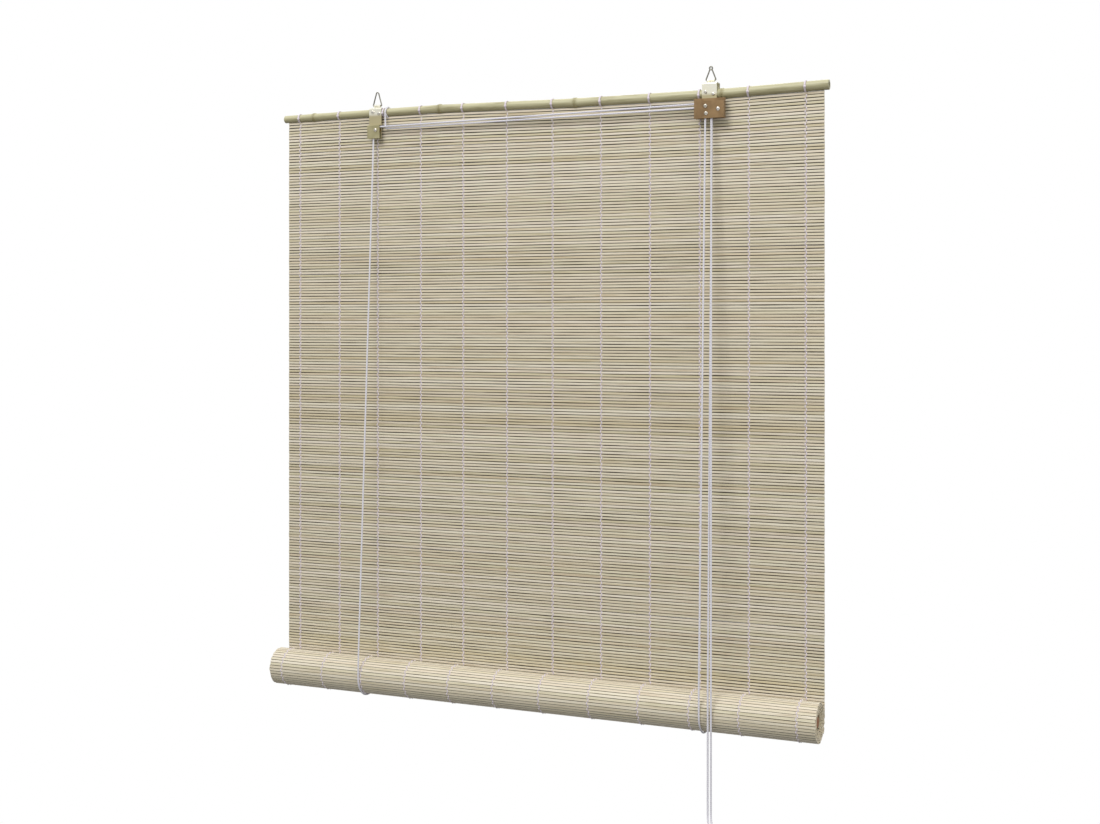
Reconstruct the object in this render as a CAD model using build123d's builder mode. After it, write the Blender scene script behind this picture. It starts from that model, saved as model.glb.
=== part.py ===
from build123d import *

import os
from math import cos, pi, radians, sin, sqrt, tan

# Bamboo roll up blind, half lowered, hung by two rings.
# Millimetres. +X runs to the right, -Y into the room, +Z up.
# The origin lies midway between the two hook points, the inner tops of the rings.

os.makedirs("parts", exist_ok=True)

# Sizes of the mat
mat_width = 800.0
slat_pitch = 4.0
slat_thickness = 1.8
slat_shoulder = 0.7
web_thickness = 0.6
hanging_slats = 198
gap_rows = 8
gap_height = 0.5
gap_to_thread = 3.0

# Sizes of the pole, a bamboo culm with four knuckles
pole_overhang = 6.0
pole_left_radius = 5.4
pole_right_radius = 6.6
pole_height_at_left_hanger = -28.7
pole_height_at_right_hanger = -32.0
culm_sides = 32
knuckle_inset = 51.0
knuckle_spacing = 207.0
knuckle_swell = 1.1
knuckle_half_length = 6.0
knuckle_rises = [0.8, 1.8, -1.8, -2.0]
left_end_rise = 0.4
right_end_rise = 1.2
sawn_edge = 0.5
culm_bore_radius = 2.4
septum_half_thickness = 3.0

# Sizes of the roll and of the rod in its core
roll_radius = 26.0
turn_gap = 0.6
rod_radius = 7.0
rod_inset = 3.0

# Sizes of the warp threads and their ties
thread_count = 12
thread_inset = 22.0
thread_drifts = [-2.0, -3.5, -8.5, -7.0, -8.5, -9.5, -9.5, -7.0, -6.0, -5.5, -8.0, -2.0]
thread_width = 1.4
thread_thickness = 0.35
tie_width = 3.2
tie_thickness = 0.8
tie_sides = 12
band_steps = 12
band_start_angle = 20.0

# Sizes shared by the two hangers
hook_spacing = 500.0
ring_wire_radius = 0.9
ring_base_half_width = 7.2
ring_corner_radius = 1.4
ring_top_radius = 2.0
ring_joint_gap = 0.4
small_eye_radius = 2.0
small_eye_lap = 0.6
strap_width = 20.0
strap_thickness = 1.0
eye_length = 10.0
eye_wall = 1.0
eye_neck = 1.4
strap_bend_radius = 2.0
back_leg_length = 15.0
back_hole_lift = 4.0
left_front_leg_end = -66.5
right_front_leg_end = -62.0
right_arch_rise = 7.5

# Sizes of the fasteners; the screws' places are counted from the pole's axis at their hanger
left_screw_offsets = [(-4.0, 0.6), (6.0, -1.6)]
right_screw_offsets = [(-5.0, 2.4), (5.5, -0.6)]
screw_head_radius = 2.2
screw_head_height = 1.5
screw_shank_radius = 1.1
screw_depth = 4.0
rivet_radius = 1.5
rivet_head_radius = 2.7
rivet_head_height = 1.5
rivet_tail_radius = 2.3
rivet_tail_height = 0.9

# Sizes of the pulley on the left
wheel_radius = 6.0
wheel_width = 3.4
wheel_groove_depth = 1.5
wheel_offset_x = 3.5
wheel_height = -54.5
bracket_thickness = 0.8
bracket_top = -47.0
bracket_bottom = -66.5

# Sizes of the cord lock on the right
lock_left = -18.0
lock_right = 22.0
lock_top = -38.0
lock_bottom = -65.0
lock_front_top = -42.5
lock_wing_top = -39.0
lock_wing_width = 11.0
lock_sheet = 1.0
lock_roller_radius = 4.6
lock_roller_width = 6.4
lock_groove_depth = 0.35
lock_roller_offset_x = -2.5
lock_roller_height = -49.0
lock_pin_radius = 1.8
lock_pin_offset_x = -1.7
lock_pin_height = -58.6
lock_entry_offset_x = -3.6
lock_exit_offset_x = 4.5
entry_bend_height = -62.0
entry_lane_height = -55.0
exit_lane_height = -58.0
exit_bend_height = -62.5
tail_hole_inset = 4.5
tail_hole_drop = 1.5
cam_offset_x = 14.6
cam_height = -53.5
cam_width = 6.0
cam_hub_radius = 3.6
cam_reach = 11.1
cam_droop = 12.0
cam_face_radius = 7.0
cam_tooth_depth = 0.5
cam_tooth_angle = 26.0
cam_teeth = 5

# Sizes of the cords
cord_radius = 1.25
cord_hole_radius = 1.5
knot_radius = 2.4
cord_lead = 1.0
loop_stub = 32.0
back_knot_drop = 9.5
hitch_gap = 2.0
tail_end_rise = 1.8
tail_hole_bend = 3.0
tail_end_bend = 4.0
pull_lead_drop = 26.0
pull_lead_lean = 1.08
pull_lead_shifts = {"left": 0.1, "right": 0.4}
pull_offsets_x = {"left": 12.4, "right": 16.6}
pull_stand_off = 0.43
hank_drop = 146.2
hank_offset_x = 14.5
hank_size = (33.0, 21.0, 58.0)
hank_corner_radius = 6.0
hank_tie_wall = 2.2
hank_tie_height = 8.0
end_knot_radius = 2.8
end_knot_drops = {"left": 16.0, "right": 16.0}
end_knot_leans = {"left": 0.0, "right": 6.0}

# Clearances
seat = 0.1
running_fit = 0.05
side_play = 0.3
facing = 0.05


def culm_stations():
    """Give the culm's ends and knuckles as pairs of X and rise above its nominal axis."""
    half = mat_width / 2 + pole_overhang
    stations = [(-half, left_end_rise)]
    x = -half + knuckle_inset
    while x < half - 2 * knuckle_half_length:
        stations.append((x, knuckle_rises[(len(stations) - 1) % len(knuckle_rises)]))
        x += knuckle_spacing
    stations.append((half, right_end_rise))
    return stations


def culm_rise(x):
    """Rise of the crooked culm's axis at x, straight from knuckle to knuckle."""
    stations = culm_stations()
    for (x0, rise0), (x1, rise1) in zip(stations, stations[1:]):
        if x <= x1:
            break
    share = (x - x0) / (x1 - x0)
    return rise0 + share * (rise1 - rise0)


def pole_centre(x):
    """Height of the culm's axis at x: its rise, lifted and tilted to meet both hangers."""
    left_lift = pole_height_at_left_hanger - culm_rise(-hook_spacing / 2)
    right_lift = pole_height_at_right_hanger - culm_rise(hook_spacing / 2)
    share = x / hook_spacing + 0.5
    return culm_rise(x) + left_lift + share * (right_lift - left_lift)


def pole_radius(x):
    """Radius of the culm between its knuckles, growing from left to right."""
    share = x / (mat_width + 2 * pole_overhang) + 0.5
    return pole_left_radius + share * (pole_right_radius - pole_left_radius)


def knuckles_under(x, width):
    """Places of the knuckles that a piece of this width at x would touch."""
    reach = knuckle_half_length + width / 2
    return [place for place, _ in culm_stations()[1:-1] if abs(place - x) < reach]


def seat_radius(x, width):
    """Radius inside which a piece of this width at x may not go: the culm, or its knuckle."""
    return pole_radius(x) + seat + (knuckle_swell if knuckles_under(x, width) else 0.0)


def culm_top(x, width):
    """Height of the culm's highest point under a piece of this width at x."""
    knuckles = knuckles_under(x, width)
    places = [x - width / 2, x + width / 2, *knuckles]
    return max(pole_centre(place) + pole_radius(place) for place in places) + (knuckle_swell if knuckles else 0.0)


# Places worked out from the sizes
half_width = mat_width / 2
half_pole = half_width + pole_overhang
bracket_x = hook_spacing / 2
lowest_culm = min(pole_centre(x) - pole_radius(x) for x, rise in culm_stations())
mat_top = lowest_culm - knuckle_swell - side_play
mat_bottom = mat_top - hanging_slats * slat_pitch
roll_z = mat_bottom - facing
first_turn_radius = roll_radius - slat_thickness / 2
roll_y = -first_turn_radius
core_turn_radius = rod_radius + side_play + slat_thickness / 2
half_turns = int((first_turn_radius - core_turn_radius) / (slat_thickness + turn_gap) * 2) + 1
turn_step = (first_turn_radius - core_turn_radius) / (half_turns - 1)
ridge_depth = (slat_thickness - web_thickness) / 2
band_radius = (roll_radius + facing) / cos(radians((180 - band_start_angle) / band_steps))
loop_radius = band_radius + thread_thickness + side_play + cord_radius
thread_spacing = (mat_width - 2 * thread_inset) / (thread_count - 1)
thread_places = [
    -half_width + thread_inset + number * thread_spacing + thread_drifts[number % len(thread_drifts)]
    for number in range(thread_count)
]


def export_node(part, name):
    """Label one finished piece and write it under its own name."""
    part.label = name
    export_step(part, f"parts/{name}.step")


# Top pole: a hollow culm, sawn at both ends, with a ridged knuckle at each joint
culm_sections = [(-half_pole, -sawn_edge), (-half_pole + sawn_edge, 0.0)]
for knuckle_x, _ in culm_stations()[1:-1]:
    culm_sections.append((knuckle_x - knuckle_half_length, 0.0))
    culm_sections.append((knuckle_x - 0.25 * knuckle_half_length, 0.75 * knuckle_swell))
    culm_sections.append((knuckle_x - 0.08 * knuckle_half_length, 0.3 * knuckle_swell))
    culm_sections.append((knuckle_x + 0.15 * knuckle_half_length, knuckle_swell))
    culm_sections.append((knuckle_x + knuckle_half_length, 0.0))
culm_sections.append((half_pole - sawn_edge, 0.0))
culm_sections.append((half_pole, -sawn_edge))

left_x = -bracket_x
right_x = bracket_x
left_screws = [(left_x + along, pole_centre(left_x) + rise) for along, rise in left_screw_offsets]
right_screws = [(right_x + along, pole_centre(right_x) + rise) for along, rise in right_screw_offsets]

with BuildPart() as top_pole:
    for section_x, swell in culm_sections:
        with BuildSketch(Plane.YZ.offset(section_x)):
            with Locations((0, pole_centre(section_x))):
                RegularPolygon(pole_radius(section_x) + swell, culm_sides)
    loft(ruled=True)
    first_septum = culm_stations()[1][0] - septum_half_thickness
    with BuildSketch(Plane.YZ.offset(-half_pole)):
        with Locations((0, pole_centre(-half_pole))):
            Circle(culm_bore_radius)
    extrude(amount=first_septum + half_pole, mode=Mode.SUBTRACT)
    last_septum = culm_stations()[-2][0] + septum_half_thickness
    with BuildSketch(Plane.YZ.offset(half_pole)):
        with Locations((0, pole_centre(half_pole))):
            Circle(culm_bore_radius)
    extrude(amount=last_septum - half_pole, mode=Mode.SUBTRACT)
    with BuildSketch(Plane.XZ):
        with Locations(*left_screws, *right_screws):
            Circle(screw_shank_radius + running_fit)
    extrude(amount=2 * pole_right_radius, mode=Mode.SUBTRACT)
export_node(top_pole.part, "top_pole")

# Hanging mat: one wall of reeds, with a groove at each joint and the gaps that let light through
front_face = []
back_face = []
for number in range(hanging_slats):
    slat_top = mat_top - number * slat_pitch
    for depth, side in ((-1, front_face), (1, back_face)):
        side.append((depth * web_thickness / 2, slat_top))
        side.append((depth * slat_thickness / 2, slat_top - slat_shoulder))
        side.append((depth * slat_thickness / 2, slat_top - slat_pitch + slat_shoulder))
front_face.append((-web_thickness / 2, mat_bottom))
back_face.append((web_thickness / 2, mat_bottom))

row_pitch = hanging_slats // gap_rows
bay_shift = 7
with BuildPart() as hanging_mat:
    with BuildSketch(Plane.YZ.offset(-half_width)):
        with BuildLine():
            Polyline(*front_face, *reversed(back_face), close=True)
        make_face()
    extrude(amount=mat_width)
    with BuildSketch(Plane.XZ):
        for bay, (bay_left, bay_right) in enumerate(zip(thread_places, thread_places[1:])):
            first_joint = 1 + (bay * bay_shift) % (row_pitch - 1)
            joints = [first_joint + row * row_pitch for row in range(gap_rows)]
            bay_centre = (bay_left + bay_right) / 2
            with Locations(*[(bay_centre, mat_top - joint * slat_pitch) for joint in joints]):
                Rectangle(bay_right - bay_left - 2 * gap_to_thread, gap_height)
    extrude(amount=slat_thickness, both=True, mode=Mode.SUBTRACT)
export_node(hanging_mat.part, "hanging_mat")


def half_turn_centre(turn):
    """Centre of one half turn of the spiral, as Y and Z; the upper halves stand a little forward."""
    return (roll_y - turn_step * (turn % 2), roll_z)


def spiral_point(turn, share, stand_off):
    """Point on half turn number turn, a share of the way round it, stand_off outside its middle."""
    centre_y, centre_z = half_turn_centre(turn)
    angle = pi * (turn + share)
    radius = first_turn_radius - turn * turn_step + stand_off
    return (centre_y + radius * cos(angle), centre_z - radius * sin(angle))


# Rolled mat: all turns in one solid, with reeds on the turn that shows
reed_face = []
for turn in (0, 1):
    turn_radius = first_turn_radius - turn * turn_step
    reeds = round(pi * turn_radius / slat_pitch)
    for reed in range(reeds):
        for place, depth in ((0.0, ridge_depth), (slat_shoulder, 0.0), (slat_pitch - slat_shoulder, 0.0)):
            share = (reed + place / slat_pitch) / reeds
            reed_face.append(spiral_point(turn, share, slat_thickness / 2 - depth))
reed_face.append(spiral_point(2, 0.0, slat_thickness / 2))

with BuildPart() as mat_roll:
    with BuildSketch(Plane.YZ.offset(-half_width)):
        with BuildLine():
            Polyline(*reed_face)
            for turn in range(2, half_turns):
                ThreePointArc(*[spiral_point(turn, share, slat_thickness / 2) for share in (0.0, 0.5, 1.0)])
            Line(
                spiral_point(half_turns - 1, 1.0, slat_thickness / 2),
                spiral_point(half_turns - 1, 1.0, -slat_thickness / 2),
            )
            for turn in reversed(range(half_turns)):
                ThreePointArc(*[spiral_point(turn, share, -slat_thickness / 2) for share in (1.0, 0.5, 0.0)])
            Line(spiral_point(0, 0.0, -slat_thickness / 2), reed_face[0])
        make_face()
    extrude(amount=mat_width)
export_node(mat_roll.part, "mat_roll")

# Bottom rod in the core of the roll
rod_centre = half_turn_centre(half_turns - 1)
with BuildPart() as bottom_rod:
    with BuildSketch(Plane.YZ.offset(-half_width + rod_inset)):
        with Locations(rod_centre):
            Circle(rod_radius)
    extrude(amount=mat_width - 2 * rod_inset)
    chamfer(bottom_rod.edges().filter_by(GeomType.CIRCLE), length=sawn_edge)
export_node(bottom_rod.part, "bottom_rod")


# The cross cord's tail is hitched round the pole beside the left strap, with room for one tie between
hitch_x = left_x + strap_width / 2 + side_play + tie_width + hitch_gap + cord_radius


def tie_place(x):
    """X of the tie on the pole for the thread at x, moved clear of a strap or hitch in its way."""
    for middle, width in ((left_x, strap_width), (hitch_x, 2 * cord_radius), (right_x, strap_width)):
        keep_off = (width + tie_width) / 2 + side_play
        if abs(x - middle) < keep_off:
            x = middle + (keep_off if x >= middle else -keep_off)
    return x


# Ties round the pole and warp threads down the mat
for number, thread_x in enumerate(thread_places, start=1):
    tie_x = tie_place(thread_x)
    tie_inner = seat_radius(tie_x, tie_width)
    with BuildPart() as pole_tie:
        with BuildSketch(Plane.YZ.offset(tie_x - tie_width / 2)):
            with Locations((0, pole_centre(tie_x))):
                RegularPolygon(tie_inner + tie_thickness, tie_sides, major_radius=False)
                RegularPolygon(tie_inner, tie_sides, major_radius=False, mode=Mode.SUBTRACT)
        extrude(amount=tie_width)
    export_node(pole_tie.part, f"pole_tie_{number}")

    thread_top = pole_centre(tie_x) - tie_inner - 2 * tie_thickness
    with BuildPart() as warp_thread:
        with BuildSketch(Plane.XZ.offset(slat_thickness / 2 + facing)):
            with Locations((thread_x, (thread_top + mat_bottom) / 2)):
                Rectangle(thread_width, thread_top - mat_bottom)
        extrude(amount=thread_thickness)
    export_node(warp_thread.part, f"warp_thread_{number}")

# Threads round the outer turn of the roll
band_angle = (180 - band_start_angle) / band_steps * 2


def band_point(step, radius):
    """Corner of a thread's band round the roll, step counted from its lower back end."""
    angle = radians(band_start_angle + step * band_angle)
    centre_y, centre_z = half_turn_centre(0 if angle <= pi else 1)
    reach = radius if angle <= pi else radius - turn_step
    return (centre_y + reach * cos(angle), centre_z - reach * sin(angle))


band_inside = [band_point(step, band_radius) for step in range(band_steps + 1)]
band_outside = [band_point(step, band_radius + thread_thickness) for step in range(band_steps + 1)]
with BuildPart() as roll_threads:
    for thread_x in thread_places:
        with BuildSketch(Plane.YZ.offset(thread_x - thread_width / 2)):
            with BuildLine():
                Polyline(*band_outside, *reversed(band_inside), close=True)
            make_face()
        extrude(amount=thread_width)
export_node(roll_threads.part, "roll_threads")


def strap_face(x):
    """Distance from the pole's axis to the outer face of a strap's leg at the hanger at x."""
    return seat_radius(x, strap_width) + strap_thickness


# The left strap's arch lies on the culm; the right one stands above it
eye_outer_radius = ring_wire_radius + running_fit + eye_wall
left_arch_top = culm_top(left_x, strap_width) + seat + strap_thickness
right_arch_top = pole_centre(right_x) + strap_face(right_x) + right_arch_rise
left_eye_z = left_arch_top + eye_neck + eye_outer_radius
right_eye_z = right_arch_top + eye_neck + eye_outer_radius


def strap_outline(x, top, leg_end):
    """Corners of the strap's section below its eye: an arch over the pole with two legs."""
    outer = strap_face(x)
    inner = outer - strap_thickness
    back_end = pole_centre(x) - back_leg_length
    return [
        (-outer, leg_end),
        (-outer, top),
        (outer, top),
        (outer, back_end),
        (inner, back_end),
        (inner, top - strap_thickness),
        (-inner, top - strap_thickness),
        (-inner, leg_end),
    ]


def fold_edges(part, top):
    """Fold lines along X at the height top, from the front one to the back one."""
    lines = part.edges().filter_by(Axis.X)
    return lines.filter_by(lambda edge: abs(edge.center().Z - top) < facing).sort_by(Axis.Y)


# Straps: each is folded double round its ring and over the pole; the right one carries the lock
left_wheel = (left_x + wheel_offset_x, wheel_height)
lock_roller_place = (right_x + lock_roller_offset_x, lock_roller_height)
lock_pin_place = (right_x + lock_pin_offset_x, lock_pin_height)
cam_place = (right_x + cam_offset_x, cam_height)
left_back_cord_z = pole_centre(left_x) - back_leg_length + back_hole_lift
right_back_cord_z = pole_centre(right_x) - back_leg_length + back_hole_lift
for hanger, hanger_x, top, eye_z, leg_end, back_cord_z, screws, rivets in (
    ("left", left_x, left_arch_top, left_eye_z, left_front_leg_end, left_back_cord_z, left_screws, [left_wheel]),
    (
        "right",
        right_x,
        right_arch_top,
        right_eye_z,
        right_front_leg_end,
        right_back_cord_z,
        right_screws,
        [lock_roller_place, lock_pin_place],
    ),
):
    notch_height = eye_z + eye_outer_radius - top + strap_thickness
    notch_width = (strap_width - eye_length) / 2 + seat
    notch_x = (eye_length + notch_width) / 2
    with BuildPart() as strap:
        with BuildSketch(Plane.YZ.offset(hanger_x - strap_width / 2)):
            with BuildLine():
                Polyline(*strap_outline(hanger_x, top, leg_end), close=True)
            make_face()
            with Locations((0, (top + eye_z) / 2)):
                Rectangle(2 * strap_thickness, eye_z - top)
            with Locations((0, eye_z)):
                Circle(eye_outer_radius)
                Circle(ring_wire_radius + running_fit, mode=Mode.SUBTRACT)
        extrude(amount=strap_width)
        outer_folds = fold_edges(strap, top)
        fillet([outer_folds[0], outer_folds[-1]], radius=strap_bend_radius)
        with Locations(*[(hanger_x + side * notch_x, 0, top + notch_height / 2) for side in (-1, 1)]):
            Box(notch_width, 4 * eye_outer_radius, notch_height, mode=Mode.SUBTRACT)
        with BuildSketch(Plane.XZ):
            with Locations(*screws):
                Circle(screw_shank_radius + running_fit)
            with Locations(*rivets):
                Circle(rivet_radius + running_fit)
        extrude(amount=2 * strap_face(hanger_x), mode=Mode.SUBTRACT)
        with BuildSketch(Plane.XZ):
            with Locations((hanger_x, back_cord_z)):
                Circle(cord_hole_radius)
        extrude(amount=-2 * strap_face(hanger_x), mode=Mode.SUBTRACT)
    export_node(strap.part, f"{hanger}_strap")

# Screws that fix the straps to the pole
for hanger, hanger_x, screw_places in (("left", left_x, left_screws), ("right", right_x, right_screws)):
    with BuildPart() as strap_screws:
        with BuildSketch(Plane.XZ.offset(strap_face(hanger_x))):
            with Locations(*screw_places):
                Circle(screw_head_radius)
        extrude(amount=screw_head_height)
        fillet(strap_screws.faces().sort_by(Axis.Y)[:2].edges(), radius=0.6 * screw_head_height)
        with BuildSketch(Plane.XZ.offset(strap_face(hanger_x))):
            with Locations(*screw_places):
                Circle(screw_shank_radius)
        extrude(amount=-strap_thickness - screw_depth)
    export_node(strap_screws.part, f"{hanger}_strap_screws")


def ring_vertex(eye_z):
    """Height of the point where a ring's straight sides would meet above its rounded top."""
    rise = ring_wire_radius - ring_top_radius - eye_z
    flatness = (ring_top_radius / ring_base_half_width) ** 2
    root = sqrt(rise**2 - (1 - flatness) * (rise**2 - ring_top_radius**2))
    return eye_z + (rise + root) / (1 - flatness)


# Triangular wire rings; each butt joint is inside the strap's eye
for hanger, hanger_x, eye_z in (("left", left_x, left_eye_z), ("right", right_x, right_eye_z)):
    with BuildPart() as wire_ring:
        with BuildLine():
            FilletPolyline(
                (hanger_x + ring_joint_gap / 2, 0, eye_z),
                (hanger_x + ring_base_half_width, 0, eye_z),
                (hanger_x, 0, ring_vertex(eye_z)),
                (hanger_x - ring_base_half_width, 0, eye_z),
                (hanger_x - ring_joint_gap / 2, 0, eye_z),
                radius=[ring_corner_radius, ring_top_radius, ring_corner_radius],
            )
        with BuildSketch(Plane.YZ.offset(hanger_x + ring_joint_gap / 2)):
            with Locations((0, eye_z)):
                Circle(ring_wire_radius)
        sweep()
        if hanger == "right":
            eye_axis_z = ring_wire_radius + small_eye_radius - small_eye_lap
            with BuildSketch(Plane.XY.offset(eye_axis_z)):
                with Locations((hanger_x + small_eye_radius, 0)):
                    Circle(ring_wire_radius)
            revolve(axis=Axis((hanger_x, 0, eye_axis_z), (0, 1, 0)))
    export_node(wire_ring.part, f"{hanger}_ring")


def rivet_places_face(places, radius):
    """Draw one circle for each rivet at its place."""
    with Locations(*places):
        Circle(radius)


# Pulley on the left: a folded bracket on the strap, a grooved wheel and its rivet
bracket_back = strap_face(left_x)
bracket_inside = wheel_width + 2 * side_play
bracket_front = bracket_back + 2 * bracket_thickness + bracket_inside
cord_depth = bracket_back + bracket_thickness + bracket_inside / 2
with BuildPart() as pulley_bracket:
    with BuildSketch(Plane.YZ.offset(left_x - strap_width / 2)):
        with BuildLine():
            Polyline(
                (-bracket_back, bracket_bottom),
                (-bracket_back, bracket_top),
                (-bracket_front, bracket_top),
                (-bracket_front, bracket_bottom),
                (bracket_thickness - bracket_front, bracket_bottom),
                (bracket_thickness - bracket_front, bracket_top - bracket_thickness),
                (-bracket_back - bracket_thickness, bracket_top - bracket_thickness),
                (-bracket_back - bracket_thickness, bracket_bottom),
                close=True,
            )
        make_face()
    extrude(amount=strap_width)
    fillet([fold_edges(pulley_bracket, bracket_top)[0]], radius=1.5 * bracket_thickness)
    with BuildSketch(Plane.XZ.offset(bracket_back)):
        rivet_places_face([left_wheel], rivet_radius + running_fit)
    extrude(amount=bracket_front, mode=Mode.SUBTRACT)
export_node(pulley_bracket.part, "pulley_bracket")

groove_radius = cord_radius + seat
wheel_pitch_radius = wheel_radius - wheel_groove_depth
with BuildPart() as pulley_wheel:
    with BuildSketch(Plane.XZ.offset(cord_depth - wheel_width / 2)):
        with Locations(left_wheel):
            Circle(wheel_radius)
            Circle(rivet_radius + running_fit, mode=Mode.SUBTRACT)
    extrude(amount=wheel_width)
    with BuildSketch(Plane.YZ.offset(left_wheel[0])):
        with Locations((-cord_depth, wheel_height + wheel_pitch_radius)):
            Circle(groove_radius)
        with Locations((-cord_depth, wheel_height + wheel_radius)):
            Rectangle(2 * groove_radius, 2 * (wheel_radius - wheel_pitch_radius))
    revolve(axis=Axis((left_wheel[0], 0, wheel_height), (0, 1, 0)), mode=Mode.SUBTRACT)
export_node(pulley_wheel.part, "pulley_wheel")

left_strap_back = strap_face(left_x) - strap_thickness
with BuildPart() as pulley_rivet:
    with BuildSketch(Plane.XZ.offset(left_strap_back)):
        rivet_places_face([left_wheel], rivet_radius)
    extrude(amount=bracket_front - left_strap_back)
    with BuildSketch(Plane.XZ.offset(bracket_front)):
        rivet_places_face([left_wheel], rivet_head_radius)
    extrude(amount=rivet_head_height)
    fillet(pulley_rivet.faces().sort_by(Axis.Y)[0].edges(), radius=0.9 * rivet_head_height)
    with BuildSketch(Plane.XZ.offset(left_strap_back)):
        rivet_places_face([left_wheel], rivet_tail_radius)
    extrude(amount=-rivet_tail_height)
export_node(pulley_rivet.part, "pulley_rivet")

# Cord lock on the right: one folded sheet, open at the left and below
lock_back = strap_face(right_x)
lock_inside = lock_roller_width + 2 * side_play
lock_front = lock_back + 2 * lock_sheet + lock_inside
lock_middle = lock_back + lock_sheet + lock_inside / 2
tail_hole = (right_x + lock_left + tail_hole_inset, lock_roller_height - tail_hole_drop)
rear_cord_y = -(lock_middle - cord_radius - seat - side_play)
front_cord_y = -(lock_middle + cord_radius + seat + side_play)
with BuildPart() as lock_housing:
    with BuildSketch(Plane.XZ.offset(lock_back)):
        with Locations((right_x + (lock_left + lock_right) / 2, (lock_top + lock_bottom) / 2)):
            Rectangle(lock_right - lock_left, lock_top - lock_bottom)
    extrude(amount=lock_sheet)
    with BuildSketch(Plane.YZ.offset(right_x + lock_right)):
        with Locations((-(lock_back + lock_front) / 2, (lock_front_top + lock_bottom) / 2)):
            Rectangle(lock_front - lock_back, lock_front_top - lock_bottom)
    extrude(amount=-lock_sheet)
    with BuildSketch(Plane.XZ.offset(lock_front - lock_sheet)):
        with Locations((right_x + (lock_left + lock_right) / 2, (lock_front_top + lock_bottom) / 2)):
            Rectangle(lock_right - lock_left, lock_front_top - lock_bottom)
        with Locations((right_x + lock_left + lock_wing_width / 2, (lock_wing_top + lock_front_top) / 2)):
            Rectangle(lock_wing_width, lock_wing_top - lock_front_top)
    extrude(amount=lock_sheet)
    side_folds = lock_housing.edges().filter_by(Axis.Z).group_by(Axis.X)[-1].sort_by(Axis.Y)
    fillet([side_folds[0]], radius=1.5 * lock_sheet)
    with BuildSketch(Plane.XZ.offset(lock_back)):
        rivet_places_face([lock_roller_place, lock_pin_place, cam_place], rivet_radius + running_fit)
    extrude(amount=lock_front, mode=Mode.SUBTRACT)
    with BuildSketch(Plane.XZ.offset(lock_back)):
        with Locations(tail_hole):
            Circle(cord_hole_radius)
    extrude(amount=lock_sheet, mode=Mode.SUBTRACT)
export_node(lock_housing.part, "lock_housing")

lock_groove_radius = cord_radius + seat
lock_pitch_radius = lock_roller_radius - lock_groove_depth
with BuildPart() as lock_roller:
    with BuildSketch(Plane.XZ.offset(lock_middle - lock_roller_width / 2)):
        with Locations(lock_roller_place):
            Circle(lock_roller_radius)
            Circle(rivet_radius + running_fit, mode=Mode.SUBTRACT)
    extrude(amount=lock_roller_width)
    with BuildSketch(Plane.YZ.offset(lock_roller_place[0])):
        with Locations(*[(y, lock_roller_height + lock_pitch_radius) for y in (rear_cord_y, front_cord_y)]):
            Rectangle(2 * lock_groove_radius, 2 * lock_groove_radius)
    revolve(axis=Axis((lock_roller_place[0], 0, lock_roller_height), (0, 1, 0)), mode=Mode.SUBTRACT)
export_node(lock_roller.part, "lock_roller")

# Locking cam: an eccentric lobe with a toothed nose that pinches the cords against the pin
nose_angle = radians(180 + cam_droop)
nose_centre_reach = cam_reach - cam_face_radius / 2
nose_x = cam_place[0] + nose_centre_reach * cos(nose_angle)
nose_z = cam_height + nose_centre_reach * sin(nose_angle)
with BuildPart() as lock_cam:
    with BuildSketch(Plane.XZ.offset(lock_middle - cam_width / 2)):
        with Locations(cam_place):
            Circle(cam_hub_radius)
        with Locations((nose_x, nose_z)):
            Circle(cam_face_radius / 2)
        make_hull()
        with Locations(cam_place):
            Circle(rivet_radius + running_fit, mode=Mode.SUBTRACT)
        for tooth in range(cam_teeth):
            tooth_angle = nose_angle + radians(cam_tooth_angle * (tooth - (cam_teeth - 1) / 2))
            notch_reach = cam_face_radius / 2
            with Locations((nose_x + notch_reach * cos(tooth_angle), nose_z + notch_reach * sin(tooth_angle))):
                Circle(cam_tooth_depth, mode=Mode.SUBTRACT)
    extrude(amount=cam_width)
export_node(lock_cam.part, "lock_cam")

# Lock rivets: one each for the roller, the pin and the cam
right_strap_back = lock_back - strap_thickness
with BuildPart() as lock_rivets:
    with BuildSketch(Plane.XZ.offset(right_strap_back)):
        rivet_places_face([lock_roller_place, lock_pin_place], rivet_radius)
    extrude(amount=lock_front - right_strap_back)
    with BuildSketch(Plane.XZ.offset(lock_back)):
        rivet_places_face([cam_place], rivet_radius)
    extrude(amount=lock_front - lock_back)
    with BuildSketch(Plane.XZ.offset(lock_back + lock_sheet + facing)):
        rivet_places_face([lock_pin_place], lock_pin_radius)
    extrude(amount=lock_inside - 2 * facing)
    with BuildSketch(Plane.XZ.offset(lock_front)):
        rivet_places_face([lock_roller_place, lock_pin_place, cam_place], rivet_head_radius)
    extrude(amount=rivet_head_height)
    fillet(lock_rivets.faces().sort_by(Axis.Y)[:3].edges(), radius=0.9 * rivet_head_height)
    with BuildSketch(Plane.XZ.offset(right_strap_back)):
        rivet_places_face([lock_roller_place, lock_pin_place], rivet_tail_radius)
    extrude(amount=-rivet_tail_height)
    with BuildSketch(Plane.XZ.offset(lock_back)):
        rivet_places_face([cam_place], rivet_tail_radius)
    extrude(amount=-rivet_tail_height)
export_node(lock_rivets.part, "lock_rivets")


def corner_radii(points):
    """Radius for each corner of a cord's route: 0.45 of its shorter run over the tangent of half its turn."""
    radii = []
    for before, corner, after in zip(points, points[1:], points[2:]):
        first = Vector(*corner) - Vector(*before)
        second = Vector(*after) - Vector(*corner)
        half_turn = radians(first.get_angle(second)) / 2
        radii.append(0.45 * min(first.length, second.length) / tan(half_turn))
    return radii


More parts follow.
